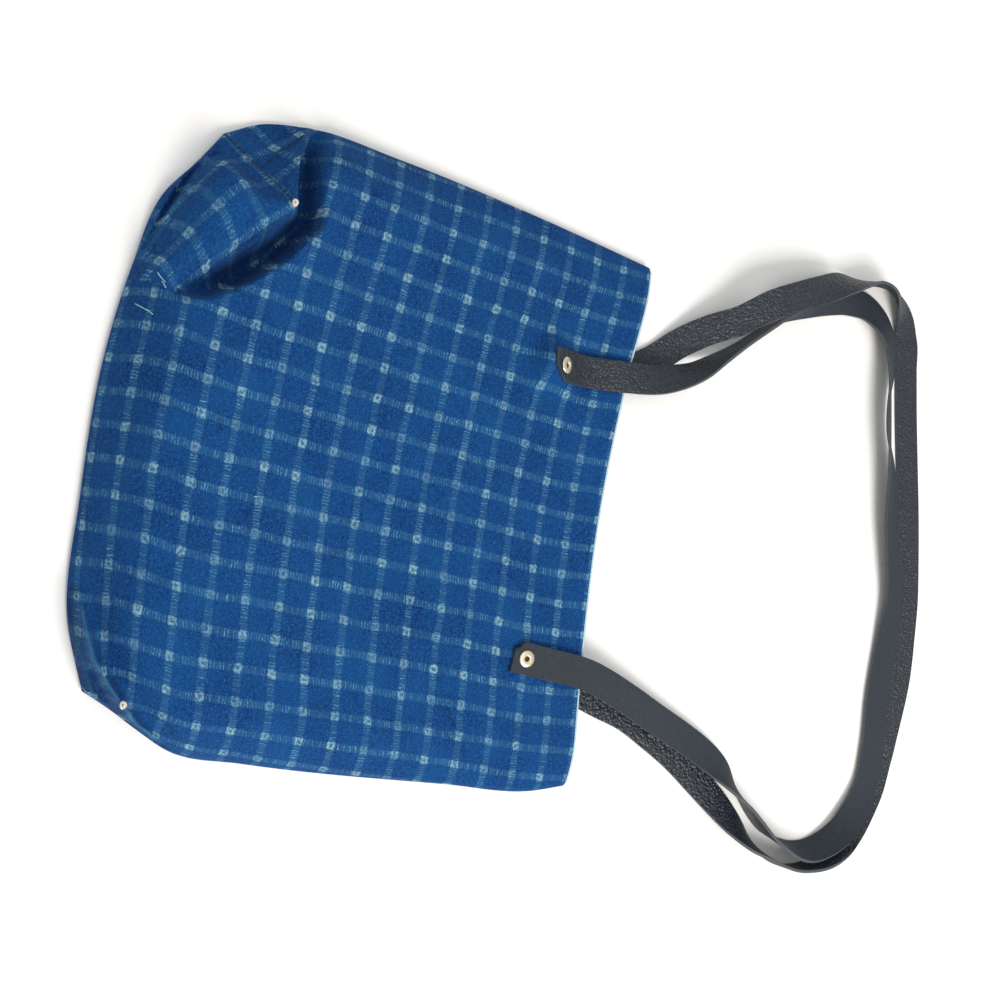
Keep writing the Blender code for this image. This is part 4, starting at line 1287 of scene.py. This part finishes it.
class TOTE_OT_corner_threads(Operator):
    """Sew the seams of the boxed corner, with its knots and loose threads"""
    bl_idname = "tote.corner_threads"
    bl_label = "Seams, knots and threads"

    def execute(self, context):
        form = BagForm(context.scene.tote_sizes)
        colours = context.scene.tote_colours
        cream = spun_thread("undyed_cotton_thread", colours.thread)
        navy = spun_thread("indigo_cotton_thread", colours.fold_shade_and_seam_navy)
        bm = bmesh.new()
        for table in (CORNER_SEAM, SIDE_SEAM):
            at, length = curve_through([(a * form.width, b * form.length) for a, b in table])
            count = round(length / STITCH_PITCH)
            for i in range(count):
                ends = []
                for share, lift in ((i + 0.12, -0.0002), (i + 0.5, 0.0004), (i + 0.85, -0.0002)):
                    x, y = at(share / count)[0]
                    ends.append(form.front_point(x / form.width, y / form.length, lift))
                sweep(bm, ends, STITCH_RADIUS)
        bmesh.ops.recalc_face_normals(bm, faces=bm.faces)
        add_piece("corner_seam_thread", bm, [navy], form.shift, [])
        bm = bmesh.new()
        for across, along in CORNER_KNOTS:
            middle = form.front_point(across, along, 0.0006)
            for turn in range(5):
                points = []
                for step in range(9):
                    angle = step / 8 * 2 * math.pi * 0.92 + turn * 1.3
                    wide = KNOT_RADIUS + 0.0003 * math.sin(turn * 2.3)
                    out = Vector((math.cos(angle) * wide * 1.3, math.sin(angle) * wide,
                                  0.0006 * math.sin(angle * 2 + turn)))
                    out.rotate(Matrix.Rotation(turn * 0.9, 3, "X"))
                    points.append(middle + out)
                sweep(bm, points, KNOT_THREAD_RADIUS)
        bmesh.ops.recalc_face_normals(bm, faces=bm.faces)
        add_piece("corner_knots", bm, [cream], form.shift, [])
        bm = bmesh.new()
        for across, along, degrees, length in LOOSE_THREADS:
            way = Vector((math.cos(math.radians(degrees)), -math.sin(math.radians(degrees)), 0))
            points = []
            for step, lift in ((-0.5, 0.0002), (-0.1, 0.0006), (0.5, 0.0003)):
                x = across + way.x * step * length / form.width
                y = along - way.y * step * length / form.length
                points.append(form.front_point(x, y, lift))
            sweep(bm, points, LOOSE_RADIUS)
        bmesh.ops.recalc_face_normals(bm, faces=bm.faces)
        pale = spun_thread("pale_cotton_thread", colours.knot_thread)
        add_piece("loose_threads", bm, [pale], form.shift, [])
        return {"FINISHED"}


class TOTE_OT_stage(Operator):
    """Set the pale floor, the soft lights and the camera"""
    bl_idname = "tote.stage"
    bl_label = "Stage"

    def execute(self, context):
        scene = context.scene
        form = BagForm(scene.tote_sizes)
        bm = bmesh.new()
        bmesh.ops.create_grid(bm, x_segments=1, y_segments=1, size=6.0)
        mesh = bpy.data.meshes.new("pale_floor")
        bm.to_mesh(mesh)
        bm.free()
        made, tree, shader = new_material("matte_white_board", 0.75)
        shader.inputs["Base Color"].default_value = (*scene.tote_colours.floor, 1)
        shader.inputs["Specular IOR Level"].default_value = 0.1
        mesh.materials.append(made)
        floor = bpy.data.objects.new("pale_floor", mesh)
        scene.collection.objects.link(floor)
        down, turn = math.radians(CAMERA_DOWN), math.radians(CAMERA_TURN)
        level = Vector((-math.sin(turn), math.cos(turn), 0))
        ahead = level * math.cos(down) - Vector((0, 0, math.sin(down)))
        right = level * math.sin(down) + Vector((0, 0, math.cos(down)))
        below = Vector((math.cos(turn), math.sin(turn), 0))
        camera = bpy.data.objects.new("camera", bpy.data.cameras.new("camera"))
        camera.data.lens = CAMERA_LENS
        camera.data.sensor_width = CAMERA_SENSOR
        camera.data.clip_start = 0.01
        camera.matrix_world = Matrix((right, -below, -ahead)).transposed().to_4x4()
        camera.matrix_world.translation = Vector(CAMERA_PLACE) + form.shift
        scene.collection.objects.link(camera)
        scene.camera = camera
        world = bpy.data.worlds.new("pale_room")
        world.use_nodes = True
        back = world.node_tree.nodes["Background"]
        back.inputs[0].default_value = linear(ROOM_COLOUR)
        back.inputs[1].default_value = ROOM_LIGHT
        scene.world = world
        # The photograph is bright, with the floor burnt out to white.
        scene.view_settings.view_transform = "Standard"
        for name, place, side, power, colour in LIGHTS:
            lamp = bpy.data.objects.new(name, bpy.data.lights.new(name, "AREA"))
            lamp.data.shape = "SQUARE"
            lamp.data.size = side
            lamp.data.energy = power
            lamp.data.color = linear(colour)[:3]
            lamp.location = place
            lamp.rotation_euler = (-Vector(place)).to_track_quat("-Z", "Y").to_euler()
            scene.collection.objects.link(lamp)
        return {"FINISHED"}


class TOTE_PT_panel(Panel):
    """Steps that build the bag's look"""
    bl_idname = "TOTE_PT_panel"
    bl_label = "Tote bag"
    bl_space_type = "VIEW_3D"
    bl_region_type = "UI"
    bl_category = "Tote"

    def draw(self, context):
        for step in STEPS:
            self.layout.operator(step.bl_idname)
        for group in (context.scene.tote_sizes, context.scene.tote_colours):
            box = self.layout.box()
            for name in group.bl_rna.properties.keys():
                if name not in ("rna_type", "name"):
                    box.prop(group, name)


STEPS = (TOTE_OT_bag_cloth, TOTE_OT_mouth_band, TOTE_OT_handles, TOTE_OT_rivets,
         TOTE_OT_corner_threads, TOTE_OT_stage)
CLASSES = (TOTE_sizes, TOTE_colours, *STEPS, TOTE_PT_panel)


def register():
    """Add the panel, its steps and their settings."""
    for kind in CLASSES:
        bpy.utils.register_class(kind)
    bpy.types.Scene.tote_sizes = PointerProperty(type=TOTE_sizes)
    bpy.types.Scene.tote_colours = PointerProperty(type=TOTE_colours)


def unregister():
    """Take them away again."""
    del bpy.types.Scene.tote_colours
    del bpy.types.Scene.tote_sizes
    for kind in reversed(CLASSES):
        bpy.utils.unregister_class(kind)


def main():
    """Build every piece."""
    register()
    bpy.ops.tote.bag_cloth()
    bpy.ops.tote.mouth_band()
    bpy.ops.tote.handles()
    bpy.ops.tote.rivets()
    bpy.ops.tote.corner_threads()
    bpy.ops.tote.stage()


if __name__ == "__main__":
    main()
